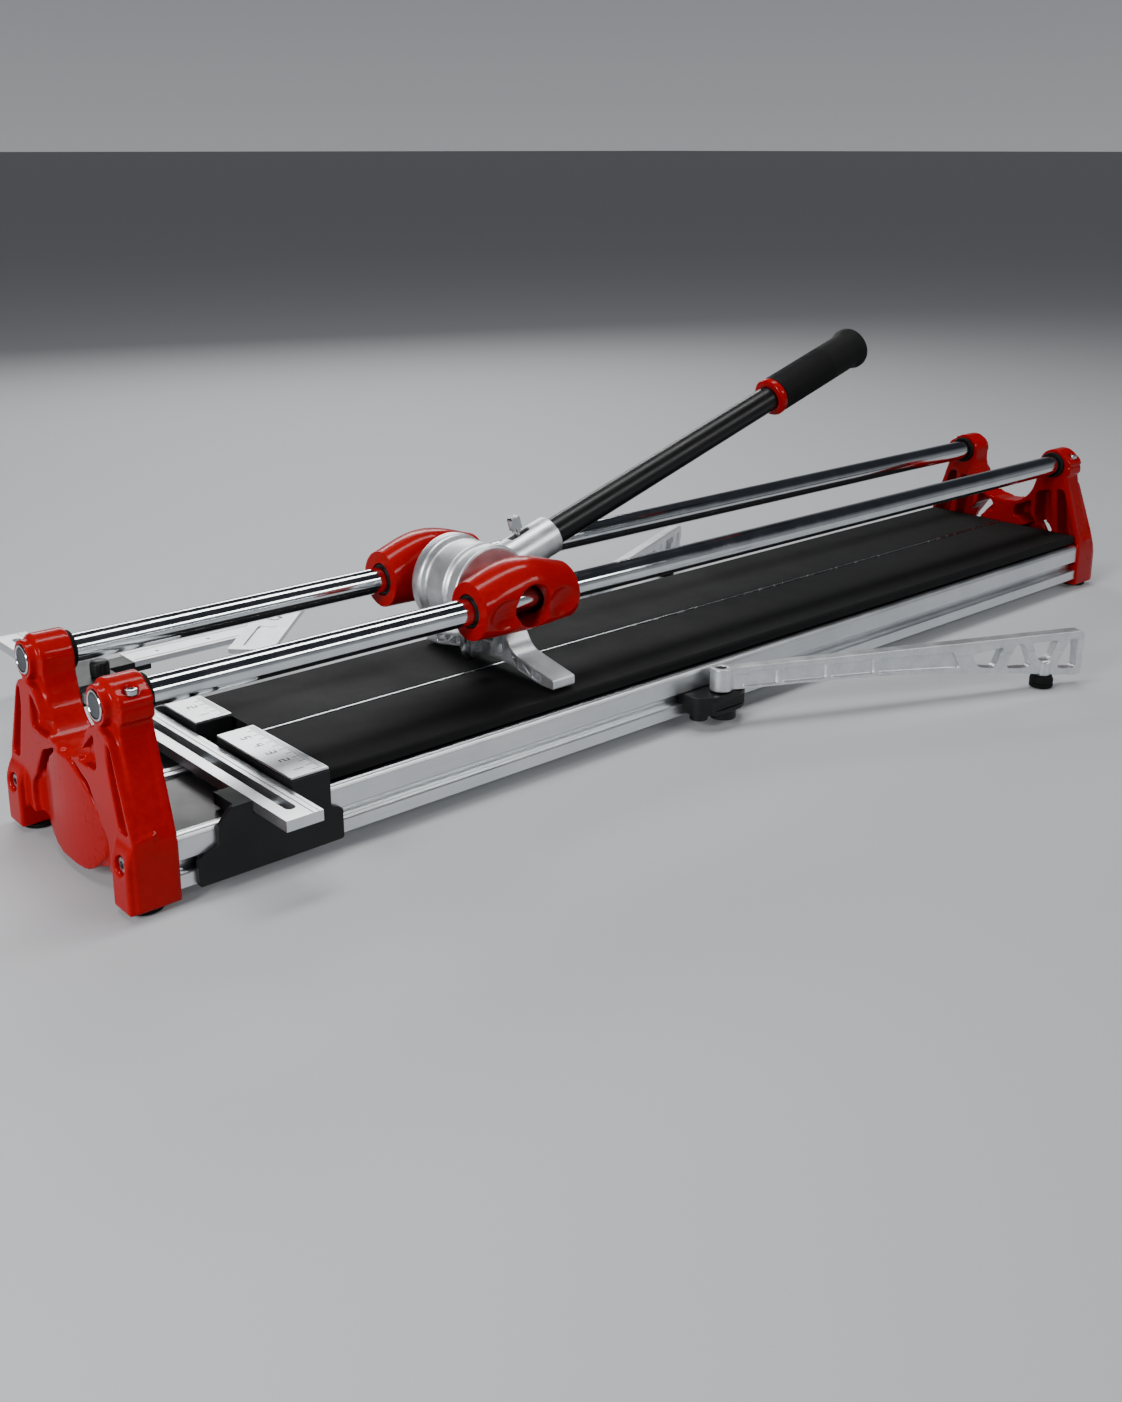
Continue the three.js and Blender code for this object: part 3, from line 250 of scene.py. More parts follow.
def block(x0, x1, y0, y1, z0, z1):
    """A box between its faces."""
    bm = bmesh.new()
    bmesh.ops.create_cube(bm, size=1)
    bmesh.ops.scale(bm, vec=(x1 - x0, y1 - y0, z1 - z0), verts=bm.verts[:])
    return moved(bm, shift((x0 + x1) / 2, (y0 + y1) / 2, (z0 + z1) / 2))


def rod(axis, radius, a, b, u=0.0, v=0.0, steps=64, end=None):
    """A round bar, or a cone if the end radius is given. u and v follow the axis in turn."""
    bm = bmesh.new()
    bmesh.ops.create_cone(bm, cap_ends=True, segments=steps, radius1=radius,
                          radius2=radius if end is None else end, depth=b - a)
    return moved(moved(bm, shift(u, v, (a + b) / 2)), LAY[axis])


def ball(x, y, z, rx, ry, rz):
    """An ellipsoid about a point."""
    bm = bmesh.new()
    bmesh.ops.create_uvsphere(bm, u_segments=40, v_segments=24, radius=1)
    bmesh.ops.scale(bm, vec=(rx, ry, rz), verts=bm.verts[:])
    return moved(bm, shift(x, y, z))


def slab(points, axis, a, b, radius=0.0, steps=5):
    """An outline pushed along an axis, with its corners rounded. A point may carry a radius."""
    bm = bmesh.new()
    corners = [bm.verts.new((p[0], p[1], a)) for p in points]
    bm.faces.new(corners)
    for vert, point in zip(corners, points):
        reach = min(point[2] if len(point) > 2 else radius,
                    0.48 * min(edge.calc_length() for edge in vert.link_edges))
        if reach > 0.01:
            bmesh.ops.bevel(bm, geom=[vert], offset=reach, offset_type="OFFSET", segments=steps,
                            profile=0.5, affect="VERTICES", material=-1)
    grown = bmesh.ops.extrude_face_region(bm, geom=bm.faces[:])["geom"]
    bmesh.ops.translate(bm, vec=(0, 0, b - a), verts=[g for g in grown
                                                      if isinstance(g, bmesh.types.BMVert)])
    bmesh.ops.transform(bm, matrix=LAY[axis], verts=bm.verts[:])
    return facing_out(bm)


def lathe(profile, axis="z", at=(0, 0, 0), steps=72, closed=False):
    """A profile of (radius, height) turned round an axis through a point."""
    bm = bmesh.new()
    verts = [bm.verts.new((r, 0, h)) for r, h in profile]
    edges = [bm.edges.new(pair) for pair in zip(verts, verts[1:])]
    if closed:
        edges.append(bm.edges.new((verts[-1], verts[0])))
    bmesh.ops.spin(bm, geom=verts + edges, cent=(0, 0, 0), axis=(0, 0, 1), angle=2 * math.pi,
                   steps=steps, use_merge=True)
    bmesh.ops.remove_doubles(bm, verts=bm.verts[:], dist=1e-4)
    bmesh.ops.transform(bm, matrix=shift(*at) @ LAY[axis], verts=bm.verts[:])
    return facing_out(bm)


def eased(bm, width, steps=2, angle=30):
    """Small rounds on every edge sharper than the angle."""
    sharp = [e for e in bm.edges if len(e.link_faces) == 2
             and e.calc_face_angle(0) > math.radians(angle)]
    bmesh.ops.bevel(bm, geom=sharp, offset=width, offset_type="OFFSET", segments=steps,
                    profile=0.5, affect="EDGES", clamp_overlap=True, material=-1)
    return bm


def bench(bm):
    """A scratch object that holds a shape while it is worked."""
    mesh = bpy.data.meshes.new("scratch")
    bm.to_mesh(mesh)
    return linked("scratch", mesh)


def worked(first, joined=(), cut=(), then=()):
    """The first shape with others joined to it and cut from it, then more modifiers."""
    scratch = [bench(first)]
    for how, shapes in (("UNION", joined), ("DIFFERENCE", cut)):
        for shape in shapes:
            scratch.append(bench(shape))
            change = scratch[0].modifiers.new(how, "BOOLEAN")
            change.operation = how
            change.object = scratch[-1]
            change.solver = "MANIFOLD"
    for kind, settings in then:
        change = scratch[0].modifiers.new(kind, kind)
        for key, value in settings.items():
            setattr(change, key, value)
    bpy.context.view_layer.update()
    seen = scratch[0].evaluated_get(bpy.context.evaluated_depsgraph_get())
    mesh = bpy.data.meshes.new_from_object(seen)
    result = bmesh.new()
    result.from_mesh(mesh)
    for made in scratch:
        old = made.data
        bpy.data.objects.remove(made)
        bpy.data.meshes.remove(old)
    bpy.data.meshes.remove(mesh)
    return result


def cast(first, joined=(), cut=(), voxel=1.0, rounds=6):
    """A casting: every edge and inner corner comes out rounded."""
    return worked(first, joined, cut, [
        ("REMESH", {"mode": "VOXEL", "voxel_size": voxel, "use_smooth_shade": True}),
        ("SMOOTH", {"factor": 0.5, "iterations": rounds}),
    ])


def machined(first, joined=(), cut=(), width=0.4, steps=2):
    """A machined or moulded piece with small rounds on its sharp edges."""
    return worked(first, joined, cut, [
        ("BEVEL", {"width": width, "segments": steps, "limit_method": "ANGLE",
                   "angle_limit": math.radians(32), "use_clamp_overlap": True}),
    ])


def emit(node, bm, slot, name=None, material=None, even=True):
    """Sets a shape into the frame on its CAD node's body, in place of the node unless named."""
    mesh = bpy.data.meshes.new(name or "fine_" + node)
    copy = bm.copy()
    bmesh.ops.transform(copy, matrix=PLACE, verts=copy.verts[:])
    copy.to_mesh(mesh)
    copy.free()
    mesh.materials.append(material or FINISH[slot])
    mesh.shade_smooth()
    mesh.set_sharp_from_angle(angle=SHARP)
    made = linked(mesh.name, mesh)
    if even:
        made.modifiers.new("even_normals", "WEIGHTED_NORMAL").keep_sharp = True
    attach(made, frame["nodes"][node]["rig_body"])
    if name is None:
        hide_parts(node)
    return made


def pair(node, bm, slot, even=True):
    """The right-hand piece as drawn, and its mirror image on the left."""
    emit(node + "_right", bm, slot, even=even)
    emit(node + "_left", flipped(bm, 1, -1), slot, even=even)


def corners(node, bm, slot):
    """One piece at each of the four corners, drawn for the near right one."""
    pair(node + "_near", bm, slot)
    pair(node + "_far", to_far(bm), slot)


# ---- end frames ----------------------------------------------------------------------------


def arc(cy, cz, radius, start, end, steps):
    """Points along an arc, by its angles in degrees."""
    turn = [math.radians(start + (end - start) * i / steps) for i in range(steps + 1)]
    return [(cy + radius * math.cos(a), cz + radius * math.sin(a), 0) for a in turn]


def frame_half():
    """One half of the near end frame, with its outer face at low X."""
    y, z = RAIL_Y, RAIL_Z
    outer = [(-2, 8), (30, 9, 20), (60, 22, 12), (84.6, 24, 3), (84.6, 4, 1.5), (112.6, 4, 3),
             (112.6, 54, 8), (107, 72, 10)]
    leg = outer + [(y + 20.5, z - 16, 3)] + arc(y, z, 19.5, 0, 180, 20)
    leg += [(y - 19.5, z - 14, 12), (38, 112, 14), (20, 99, 10), (-2, 97)]
    front = outer + [(y + 18, z - 22, 6), (y + 3, z - 16, 8), (y - 17, z - 20, 10), (36, 110, 14),
                     (22, 100, 8), (-2, 97)]
    lug = [(y, z - 12), (y + 24, z - 12, 4), (y + 24, z + 8, 6), (y + 4, z + 19, 5),
           (y - 8, z + 17, 3)]
    toe = [(-5, 4, 2), (20, 4), (20, 64), (1.2, 60, 6), (-5, 44, 7)]
    joined = [
        slab(front, "x", 1.2, 10),
        rod("x", 15.6, 1.2, 10, y, z),
        rod("x", 15.6, 7, 11, y, z, end=19.5),
        slab(lug, "x", 10, FRAME_DEPTH),
        slab(toe, "y", 84.6, 111.4),
        rod("x", 13, 9, 34, 0, 58),
    ]
    return worked(slab(leg, "x", 9, FRAME_DEPTH), joined, frame_cuts(y, z))


def frame_cuts(y, z):
    """What is taken out of that half."""
    # Pockets between the ribs of the inner face.
    pockets = [
        [(107.6, 30), (107.6, 56), (84, 124), (74, 124), (80, 70), (90, 52), (90, 30)],
        [(83, 30), (83, 50), (73, 66), (66, 122), (46, 116), (46, 84), (62, 48), (58, 30)],
        [(40, 84), (40, 104), (16, 92), (16, 78)],
        [(52, 26), (54, 46), (34, 72), (22, 62), (22, 18), (40, 16)],
    ]
    # Recesses of the outer face, the trough round its shield, and the windows right through.
    recesses = [
        [(105, 64), (84, 127), (79, 129), (79, 110), (91, 64)],
        [(58, 130), (26, 103), (29, 99), (59, 101)],
    ]
    trough = [(-2, -5), (56, -5), (64, 14), (71, 34), (69, 50), (58, 60), (41, 86), (25, 92),
              (12, 97.5), (-2, 99)]
    window = [(52, 56), (58, 62), (41, 87), (22, 89), (24, 78)]
    side_panel = [(110.2, 63), (106.4, 72), (87.2, 134), (104, 138), (126, 63)]
    cut = [slab(points, "x", 11, 38, 4.5) for points in pockets]
    cut += [slab(points, "x", -2, 8, 4) for points in recesses]
    return cut + [
        slab(window, "x", -2, 38, 4),
        slab(trough, "x", -2, 7.5, 4),
        slab(side_panel, "x", 7, 31, 3),
        # The rail's bore, the clamp slit, the head screw's hole, the bolt's and the foot's.
        rod("x", 12.2, -2, 38, y, z),
        block(-2, 38, y + 11, y + 30, z - 0.9, z + 0.9),
        rod("z", 5.6, z + 8.6, z + 24, *HEAD_SCREW),
        rod("z", 3.0, z - 9, z + 10, *HEAD_SCREW),
        rod("x", 7.6, -6, 4.4, *LEG_BOLT),
        rod("z", 4.6, 0, 17, *FOOT_AT),
    ]


def shield():
    """The plain shield between the legs, bowed outwards."""
    outline = [(-57, 30, 14), (-30, 7, 20), (30, 7, 20), (57, 30, 14), (57, 52, 12), (36, 80, 20),
               (14, 95.5, 8), (-14, 95.5, 8), (-36, 80, 20), (-57, 52, 12)]
    bow = rod("z", 250, -30, 130, 249.4, 0, 160)
    around = worked(block(-60, 60, -80, 80, -20, 120), cut=[bow])
    return worked(slab(outline, "x", -0.6, 9.4, steps=10), cut=[around])


def end_frame():
    """Both halves and the shield, cast as one."""
    half = frame_half()
    return cast(half, joined=[flipped(half, 1, -1), shield()], voxel=1.3, rounds=5)


def frames_and_fittings():
    """The end frames, and what sits at each of their four corners."""
    near = end_frame()
    emit("near_end_frame", near, "red_enamel", even=False)
    emit("far_end_frame", to_far(near), "red_enamel", even=False)
    y = -RAIL_Y
    plug = [(0, 0.9), (6.2, 0.9), (6.8, 0.5), (8.6, 0.5), (9.5, 1.2), (9.6, 14), (6.6, 14),
            (6.6, 4), (0, 4)]
    corners("rail_plug", lathe(plug, "x", (0, y, RAIL_Z), 48), "grey_plastic")
    collar = [(12.3, 36.9), (15.2, 36.9), (16, 37.7), (16, 40.6), (15.2, 41.4), (12.9, 41.4),
              (12.3, 40.8)]
    corners("rail_collar", lathe(collar, "x", (0, y, RAIL_Z), 64, closed=True), "black_rubber")
    at = (HEAD_SCREW[0], -HEAD_SCREW[1])
    head = lathe([(0, 9.4), (2.5, 9.4), (4.9, 9.4), (4.9, 12.4), (4.3, 13), (0, 13)], "z",
                 (*at, RAIL_Z), 40)
    stem = rod("z", 2.5, RAIL_Z - 8, RAIL_Z + 9.6, *at, 24)
    key = rod("z", 2.4, RAIL_Z + 10.5, RAIL_Z + 14, *at, 6)
    corners("head_screw", worked(head, [stem], [key]), "bright_steel")
    at = (-LEG_BOLT[0], LEG_BOLT[1])
    head = lathe([(0, 3.7), (6.4, 3.7), (6.4, -1.2), (5.6, -2), (0, -2)], "x", (0, *at), 48)
    stem = rod("x", 3, 3.5, 19, *at, 24)
    key = rod("x", 3.4, -3, 1.5, *at, 6)
    corners("leg_bolt", worked(head, [stem], [key]), "bright_steel")
    foot = [(0, 0), (12.6, 0), (14, 0.8), (14.5, 2), (13.9, 2.6), (14.3, 3.2), (13.9, 3.7),
            (4, 3.7), (4, 16), (0, 16)]
    corners("foot", lathe(foot, "z", (FOOT_AT[0], -FOOT_AT[1], 0), 56), "black_rubber")


# ---- rails, base and table -------------------------------------------------------------------


def rails():
    """The two tubes, with eased ends."""
    tube = [(10, 0.9), (10.4, 0.5), (11.5, 0.5), (12, 1), (12, LENGTH - 1), (11.5, LENGTH - 0.5),
            (10.4, LENGTH - 0.5), (10, LENGTH - 0.9)]
    pair("guide_rail", lathe(tube, "x", (0, -RAIL_Y, RAIL_Z), 96, closed=True), "chromed_steel")


def base_and_table():
    """The extrusion with its side grooves and chambers, the T-shaped rib and the two pads."""
    right = [(-109, 12, 0.5), (-BASE_HALF, 13, 0.5), (-BASE_HALF, 23.6), (-109.1, 24.5),
             (-107, 24.5, 0.4), (-107, 23, 0.4), (-101, 23, 0.8), (-101, 36.5, 0.8),
             (-107, 36.5, 0.4), (-107, 35, 0.4), (-109.1, 35), (-BASE_HALF, 35.9),
             (-BASE_HALF, 51.5, 0.8), (-108.5, 55, 1), (-106, 56.5, 0.5), (-103, 56.5, 0.3),
             (-103, DECK_Z), (-7, DECK_Z), (-7, 56.5, 0.3), (-1.3, 56.5, 0.2), (-1.3, 56),
             (-5.3, 56), (-5.3, 52.5)]
    left = [(-p[0],) + tuple(p[1:]) for p in reversed(right)]
    end = FRAME_DEPTH + 0.3
    profile = slab(right + left, "x", end, LENGTH - end, steps=3)
    chambers = [slab([(a, 15), (b, 15), (b, 51), (a, 51)], "x", 30, LENGTH - 30, 2)
                for a, b in ((-98, -60), (-56, -12), (12, 56), (60, 98))]
    base = emit("base_extrusion", worked(profile, cut=chambers), "extruded_aluminium")
    # The deck's top faces, bare between the end frames and the tables, are coloured black: painted
    # shade for the dark hollow there.
    base.data.materials.append(FINISH["black_paint"])
    for face in base.data.polygons:
        if face.normal.z > 0.9 and abs(face.center.z * 1000 - DECK_Z) < 0.3:
            face.material_index = 1
    rib = [(-5, 52.8), (5, 52.8), (5, 55.7), (1, 55.7), (1, 69.3, 0.5), (-1, 69.3, 0.5), (-1, 55.7),
           (-5, 55.7)]
    emit("breaking_rib", slab(rib, "x", *TABLE_SPAN), "bright_steel")
    pad = [(-2.6, 60.9, 0.5), (-2.6, 69, 0.7), (-106, 69, 3.2), (-106, 59.4, 0.8), (-98, 59.4),
           (-96, 58.9), (-9, 58.9), (-9, 60.9)]
    pair("table_pad", slab(pad, "x", *TABLE_SPAN, steps=6), "black_rubber")


# ---- ruler, carriers and stop -----------------------------------------------------------------
# The seven bars of a plain numeral, as (x0, x1, y0, y1) on a 9 by 5 mm cell, and which are inked.
BARS = [(7.8, 9, 0, 5), (4.5, 9, 0, 1.2), (0, 4.5, 0, 1.2), (0, 1.2, 0, 5), (0, 4.5, 3.8, 5),
        (4.5, 9, 3.8, 5), (3.9, 5.1, 0, 5)]
INKED = {1: (1, 2), 2: (0, 1, 6, 4, 3), 3: (0, 1, 6, 2, 3), 4: (5, 6, 1, 2), 5: (0, 5, 6, 2, 3),
         6: (0, 5, 4, 3, 2, 6)}


def print_on(x0, x1, y0, y1):
    """A flat of printed ink on the scale plates."""
    return block(x0, x1, y0, y1, PLATE_TOP - 0.05, PLATE_TOP + 0.04)


def numeral(y, value):
    """A plain printed number beside a long tick."""
    corner_x, corner_y = 143, y - 2.5
    return [print_on(corner_x + a, corner_x + b, corner_y + c, corner_y + d)
            for a, b, c, d in (BARS[i] for i in INKED[value])]


def scale_marks(y0, y1):
    """Ticks along a plate's outer edge, every fourth of them long, every eighth numbered."""
    pitch, width, edge = 2.5, 0.9, 165.8
    marks = []
    for i in range(int((y1 - y0 - 6) // pitch)):
        y = y0 + 4 + pitch * i
        marks.append(print_on(edge - (5.5 if i % 4 else 11), edge, y, y + width))
        if i % 8 == 4:
            marks += numeral(y + 0.3, i // 8 + 1)
    return together(*marks)


def ruler():
    """The slotted bar, the two carriers that it slides in, and their scale plates."""
    mid, near_y, far_y = 113, -142.5, 375
    bar = block(98, 130, -163, 395, 58.6, 67.6)
    slot = [block(mid - 4.5, mid + 4.5, near_y, far_y, 50, 70),
            rod("z", 4.5, 50, 70, mid, near_y), rod("z", 4.5, 50, 70, mid, far_y)]
    grooves = [block(121, 122, -164, 396, 67.1, 70), block(126.2, 126.8, -164, 396, 67.1, 70)]
    emit("ruler_bar", machined(bar, cut=slot + grooves, width=0.35), "extruded_aluminium")
    skirt = [(50, 11, 2.5), (178, 11, 2.5), (178, 37, 2), (167, 42, 2), (167, 72.7, 1.5),
             (132.3, 72.7), (132.3, 56.8), (97.7, 56.8), (97.7, 67.6, 1), (79.7, 67.6, 2),
             (68, 54, 3), (68, 40, 2), (50, 32, 2)]
    wrap = slab(skirt, "y", -114.5, SIDE_FACE)
    tongue = block(54, 174, -111, -104, *GRIPPED)
    fence = block(83.7, 97.68, -114, -80, 56.8, 67.1)
    way = block(97.7, 130.3, -116, -60, 56.8, 78)
    # The left carrier is a mirror image with a shorter bed for its plate.
    for hand, bed_end in (("right", 2), ("left", -38)):
        bed = block(132.32, 166.5, -113.5, bed_end, 56.8, 72.7)
        shape = machined(wrap, [tongue, fence, bed], [way], width=0.8, steps=3)
        emit("ruler_carrier_" + hand, shape if hand == "right" else flipped(shape, 1, -1),
             "black_plastic")
    for hand, y0, y1 in (("right", -113, 3), ("left", 39, 97)):
        plate = eased(block(132.8, 167, y0, y1, 73, PLATE_TOP), 0.35)
        emit("scale_plate_" + hand, plate, "extruded_aluminium")
        emit("scale_plate_" + hand, scale_marks(y0, y1), "black_paint", "scale_marks_" + hand,
             material=INK, even=False)


def lateral_stop():
    """The slider on the ruler, its knob, and a bar with a plate that swivels."""
    x, y = 124, 205
    body = slab([(92, y - 16, 5), (138, y - 16, 5), (138, 265, 5), (92, 265, 5)], "z", 53.6, 73.6)
    joined = [block(131, 173.7, 238, 263, 54.6, 66), block(132, 192, 242, 262, 54.6, 60.2)]
    cut = [block(97.7, 130.3, y - 20, 275, 58.3, 67.9), rod("z", 3.3, 68.6, 75.6, x, y)]
    emit("stop_slider", machined(body, joined, cut, width=0.9, steps=3), "black_plastic")
    knob = [(0, 69.6), (3, 69.6), (3, 73.9), (8, 73.9), (9, 75.2), (9, 85.6), (8.2, 87.4),
            (6.4, 88.7), (3.5, 88.9), (0, 88.5)]
    flutes = 14
    grips = [rod("z", 1.1, 74.6, 90, x + 9.6 * math.cos(a), y + 9.6 * math.sin(a), 12)
             for a in [2 * math.pi * i / flutes for i in range(flutes)]]
    emit("stop_knob", worked(lathe(knob, "z", (x, y, 0), 64), cut=grips), "black_plastic")
    turn, mid = 339.5, 256.5
    bar = slab([(174, 240, 1), (356, 240, 16.2), (356, 273, 16.2), (174, 273, 1)], "z", 60.5, 66,
               steps=12)
    holes = [rod("z", 2.2, 64, 68, at, mid) for at in (206, 262)]
    channel = [block(176, 318, 244, 246, 65.4, 67), block(176, 318, 267, 269, 65.4, 67)]
    post = rod("z", 4, 65, 71.3, turn, mid, 32)
    emit("stop_bar", machined(bar, [post], holes + channel), "extruded_aluminium")
    plate = slab([(-100, -22, 2), (42, -22, 2), (42, 22, 2), (-100, 22, 2)], "z", 0, 5)
    cut = [rod("z", 4.3, -1, 6, 0, 0, 32), rod("z", 8, 3.4, 6, 0, 0),
           slab([(-88, -10, 2), (-26, -10, 2), (-26, 10, 2), (-88, 10, 2)], "z", 3.4, 6)]
    plate = machined(plate, cut=cut, width=0.6)
    emit("angle_plate", moved(plate, shift(turn, mid, 66.3) @ Matrix.Rotation(math.pi / 4, 4, "Z")),
         "cast_aluminium")


# ---- side arms -------------------------------------------------------------------------------


def arm():
    """Drawn straight along +X from its pivot."""
    outline = [(8, 59), (8, 36), (155, 34, 60), (262, 27, 90), (352, 16, 60), (402, 9.8, 6),
               (408, 12, 5), (408, 59, 7), (360, 59)]
    plate = slab(outline, "y", -6.5, 6.5, steps=10)
    windows = [
        [(276, 45), (312, 50), (303, 28), (283, 31)],
        [(326, 51), (336, 51), (347, 24), (317, 26)],
        [(345, 51), (378, 51), (368, 30), (356, 30)],
        [(390, 51), (400, 51), (400, 18), (378, 20)],
    ]
    pockets = [
        [(20, 38.5), (58, 38), (58, 54), (28, 54)],
        [(63, 38), (111, 37.5), (111, 53), (63, 53.5)],
        [(116, 37.5), (164, 36.5), (164, 52), (116, 52.5)],
        [(169, 36.5), (262, 32), (252, 50), (169, 52)],
    ]
    cut = [slab(points, "y", -8, 8, 3.5) for points in windows]
    for points in pockets:
        cut += [slab(points, "y", -8, -2.2, 2.5), slab(points, "y", 2.2, 8, 2.5)]
    flank = [(8, 33), (265, 25), (352, 13), (409, 7), (409, 40), (268, 45), (8, 52)]
    cut += [slab(flank, "y", -8, -5.2, 3), slab(flank, "y", 5.2, 8, 3)]
    joined = [rod("z", 11, 36, 59), block(0, 10, -6.5, 6.5, 36, 59),
              rod("z", 8, 13, 28, ARM_FOOT_AT)]
    bores = [rod("z", 5.3, 30, 60), rod("z", 3.3, 0, 24, ARM_FOOT_AT)]
    return cast(worked(plate, cut=cut), joined, bores, voxel=0.85, rounds=2)


def arms():
    """Both side arms, their feet and the brackets with clamp lobes that hold them."""
    swung = shift(ARM_X, -ARM_Y, 0) @ Matrix.Rotation(-ARM_SWING, 4, "Z")
    pair("side_arm", moved(arm(), swung), "cast_aluminium", even=False)
    foot = [(0, 0), (10.2, 0), (11.6, 0.6), (12, 1.8), (12, 4), (11.2, 4.6), (11.2, 5.4), (12, 6),
            (12, 9), (10.4, 12.7), (3, 12.7), (3, 22), (0, 22)]
    pair("arm_foot", moved(lathe(foot, "z", (ARM_FOOT_AT, 0, 0), 56), swung), "black_rubber")
    face = SIDE_FACE
    outline = [(-34, face), (-34, face - 16, 6), (-18, face - 30, 8), (22, face - 30, 8),
               (40, face - 12, 6), (40, face)]
    body = slab(outline, "z", 16, 34.7)
    joined = [block(-33, 39, -111, -104, *GRIPPED), rod("z", 13, 6, 35.7, 6, -126),
              rod("z", 9, 10, 33, -24, -122), rod("z", 8.5, 12, 33, 32, -119)]
    lobes = cast(body, joined, [block(-22, 26, -142, -137, 20, 30)], voxel=0.8, rounds=3)
    bracket = worked(lobes, [rod("z", 5, 30, 58, 0, -ARM_Y), rod("z", 3.2, 57, 58, 0, -ARM_Y, 6)])
    pair("arm_bracket", moved(bracket, shift(ARM_X, 0, 0)), "black_plastic", even=False)


# ---- carriage --------------------------------------------------------------------------------


def cover():
    """The enamelled slide cover's sleeve, which swells between its mouths and rises to a crown. Its
    window and scoops are cut in carriage().
    """
    stations = 36
    half_length = 54
    bm = bmesh.new()
    bmesh.ops.create_circle(bm, cap_ends=True, segments=64, radius=1)
    rings = [bm.verts[:]]
    cap = bm.faces[:]
    for k in range(stations):
        grown = bmesh.ops.extrude_face_region(bm, geom=cap, use_keep_orig=True)["geom"]
        if k:
            bmesh.ops.delete(bm, geom=cap, context="FACES_ONLY")
        cap = [g for g in grown if isinstance(g, bmesh.types.BMFace)]
        rings.append([g for g in grown if isinstance(g, bmesh.types.BMVert)])
    # t runs from -1 at one mouth to 1 at the other. The sleeve swells most between them.
    for k, ring in enumerate(rings):
        t = -1 + 2 * k / stations
        swell = math.cos(t * HALF_PI) ** 1.15 if abs(t) < 1 else 0
        for vert in ring:
            a = math.atan2(vert.co.y, vert.co.x)
            c, s = math.cos(a), math.sin(a)
            across = 26.5 + 4 * swell if c < 0 else 24
            up = 26.5 + 12.5 * swell if s > 0 else 26.5
            square = 1 - 0.2 * swell
            vert.co = (half_length * t, across * math.copysign(abs(c) ** square, c),
                       up * math.copysign(abs(s) ** square, s))
    facing_out(bm)
    return bm


def carriage():
    """The two slide covers with the bushes inside them, and the shaft across."""
    sleeve = moved(cover(), shift(0, -RAIL_Y, RAIL_Z))
    inner = -RAIL_Y + 24
    # The rail's bore, the window and its lip, the scoops beside and below it, the shaft's bore.
    cut = [
        rod("x", 15.3, -56, 56, -RAIL_Y, RAIL_Z),
        rod("y", WINDOW, -105, inner - 6, 0, RAIL_Z),
        rod("y", 27.5, -101, -92, 0, RAIL_Z, end=WINDOW),
        ball(-33, -110, RAIL_Z - 4, 27, 23, 24),
        ball(33, -110, RAIL_Z - 4, 27, 23, 24),
        ball(-29, -96, RAIL_Z - 31, 18, 14, 9),
        ball(29, -96, RAIL_Z - 31, 18, 14, 9),
        rod("y", 10.3, inner - 3, -32, 0, RAIL_Z),
    ]
    hub = rod("y", 24, inner - 10, -34.3, 0, RAIL_Z)
    shape = cast(sleeve, [hub], cut, voxel=0.75, rounds=2)
    pair("slide_cover", moved(shape, shift(PIVOT_X, 0, 0)), "red_enamel", even=False)
    for place, start in (("front", 27), ("rear", -53)):
        bush = [(12.3, start), (14.2, start), (15, start + 0.8), (15, start + 25.2),
                (14.2, start + 26), (12.3, start + 26)]
        pair("slide_bush_" + place, lathe(bush, "x", (PIVOT_X, -RAIL_Y, RAIL_Z), 64, closed=True),
             "black_plastic")
    shaft = [(0, -44), (9.4, -44), (10, -43.4), (10, 43.4), (9.4, 44), (0, 44)]
    emit("pivot_shaft", lathe(shaft, "y", (PIVOT_X, 0, RAIL_Z), 48), "bright_steel")


# ---- lever -----------------------------------------------------------------------------------


def lever_head():
    """The casting on the pivot shaft: a drum, the tube's socket and the breaker's hinge."""
    half_band = [(0, 33.5), (41, 33.5), (42.6, 32.8), (43, 31.5), (43, 23), (42, 20.6), (38, 17.5),
                 (37.4, 16), (38.6, 14), (41, 11.5)]
    band = [(r, -h) for r, h in half_band] + [(41, 0)] + half_band[::-1]
    hx, hz = HINGE_X - PIVOT_X, HINGE_Z - RAIL_Z
    hinge = [(hx - 9, hz + 25), (hx - 9, hz - 8, 7), (hx + 9, hz - 8, 7), (hx + 9, hz + 25)]
    joined = [moved(rod("x", 19, 20, 102), TILT), slab(hinge, "y", -9, 9)]
    slot = [(55, -4, 3.9), (80, -4, 3.9), (80, 4, 3.9), (55, 4, 3.9)]
    # The shaft's bore, the socket and its mouth, the clamp's slot, the wheel holder's seat and the
    # hinge's bore.
    cut = [
        rod("y", 10.3, -36, 36),
        moved(rod("x", 13.8, 56, 103), TILT),
        moved(rod("x", 15.6, 100.2, 104), TILT),
        moved(slab(slot, "z", 12, 26), TILT),
        block(-8, 12, -8.3, 8.3, -47, -29),
        rod("y", 4.3, -10, 10, hx, hz, 32),
    ]
    return cast(lathe(band, "y", steps=96), joined, cut, voxel=0.85, rounds=4)


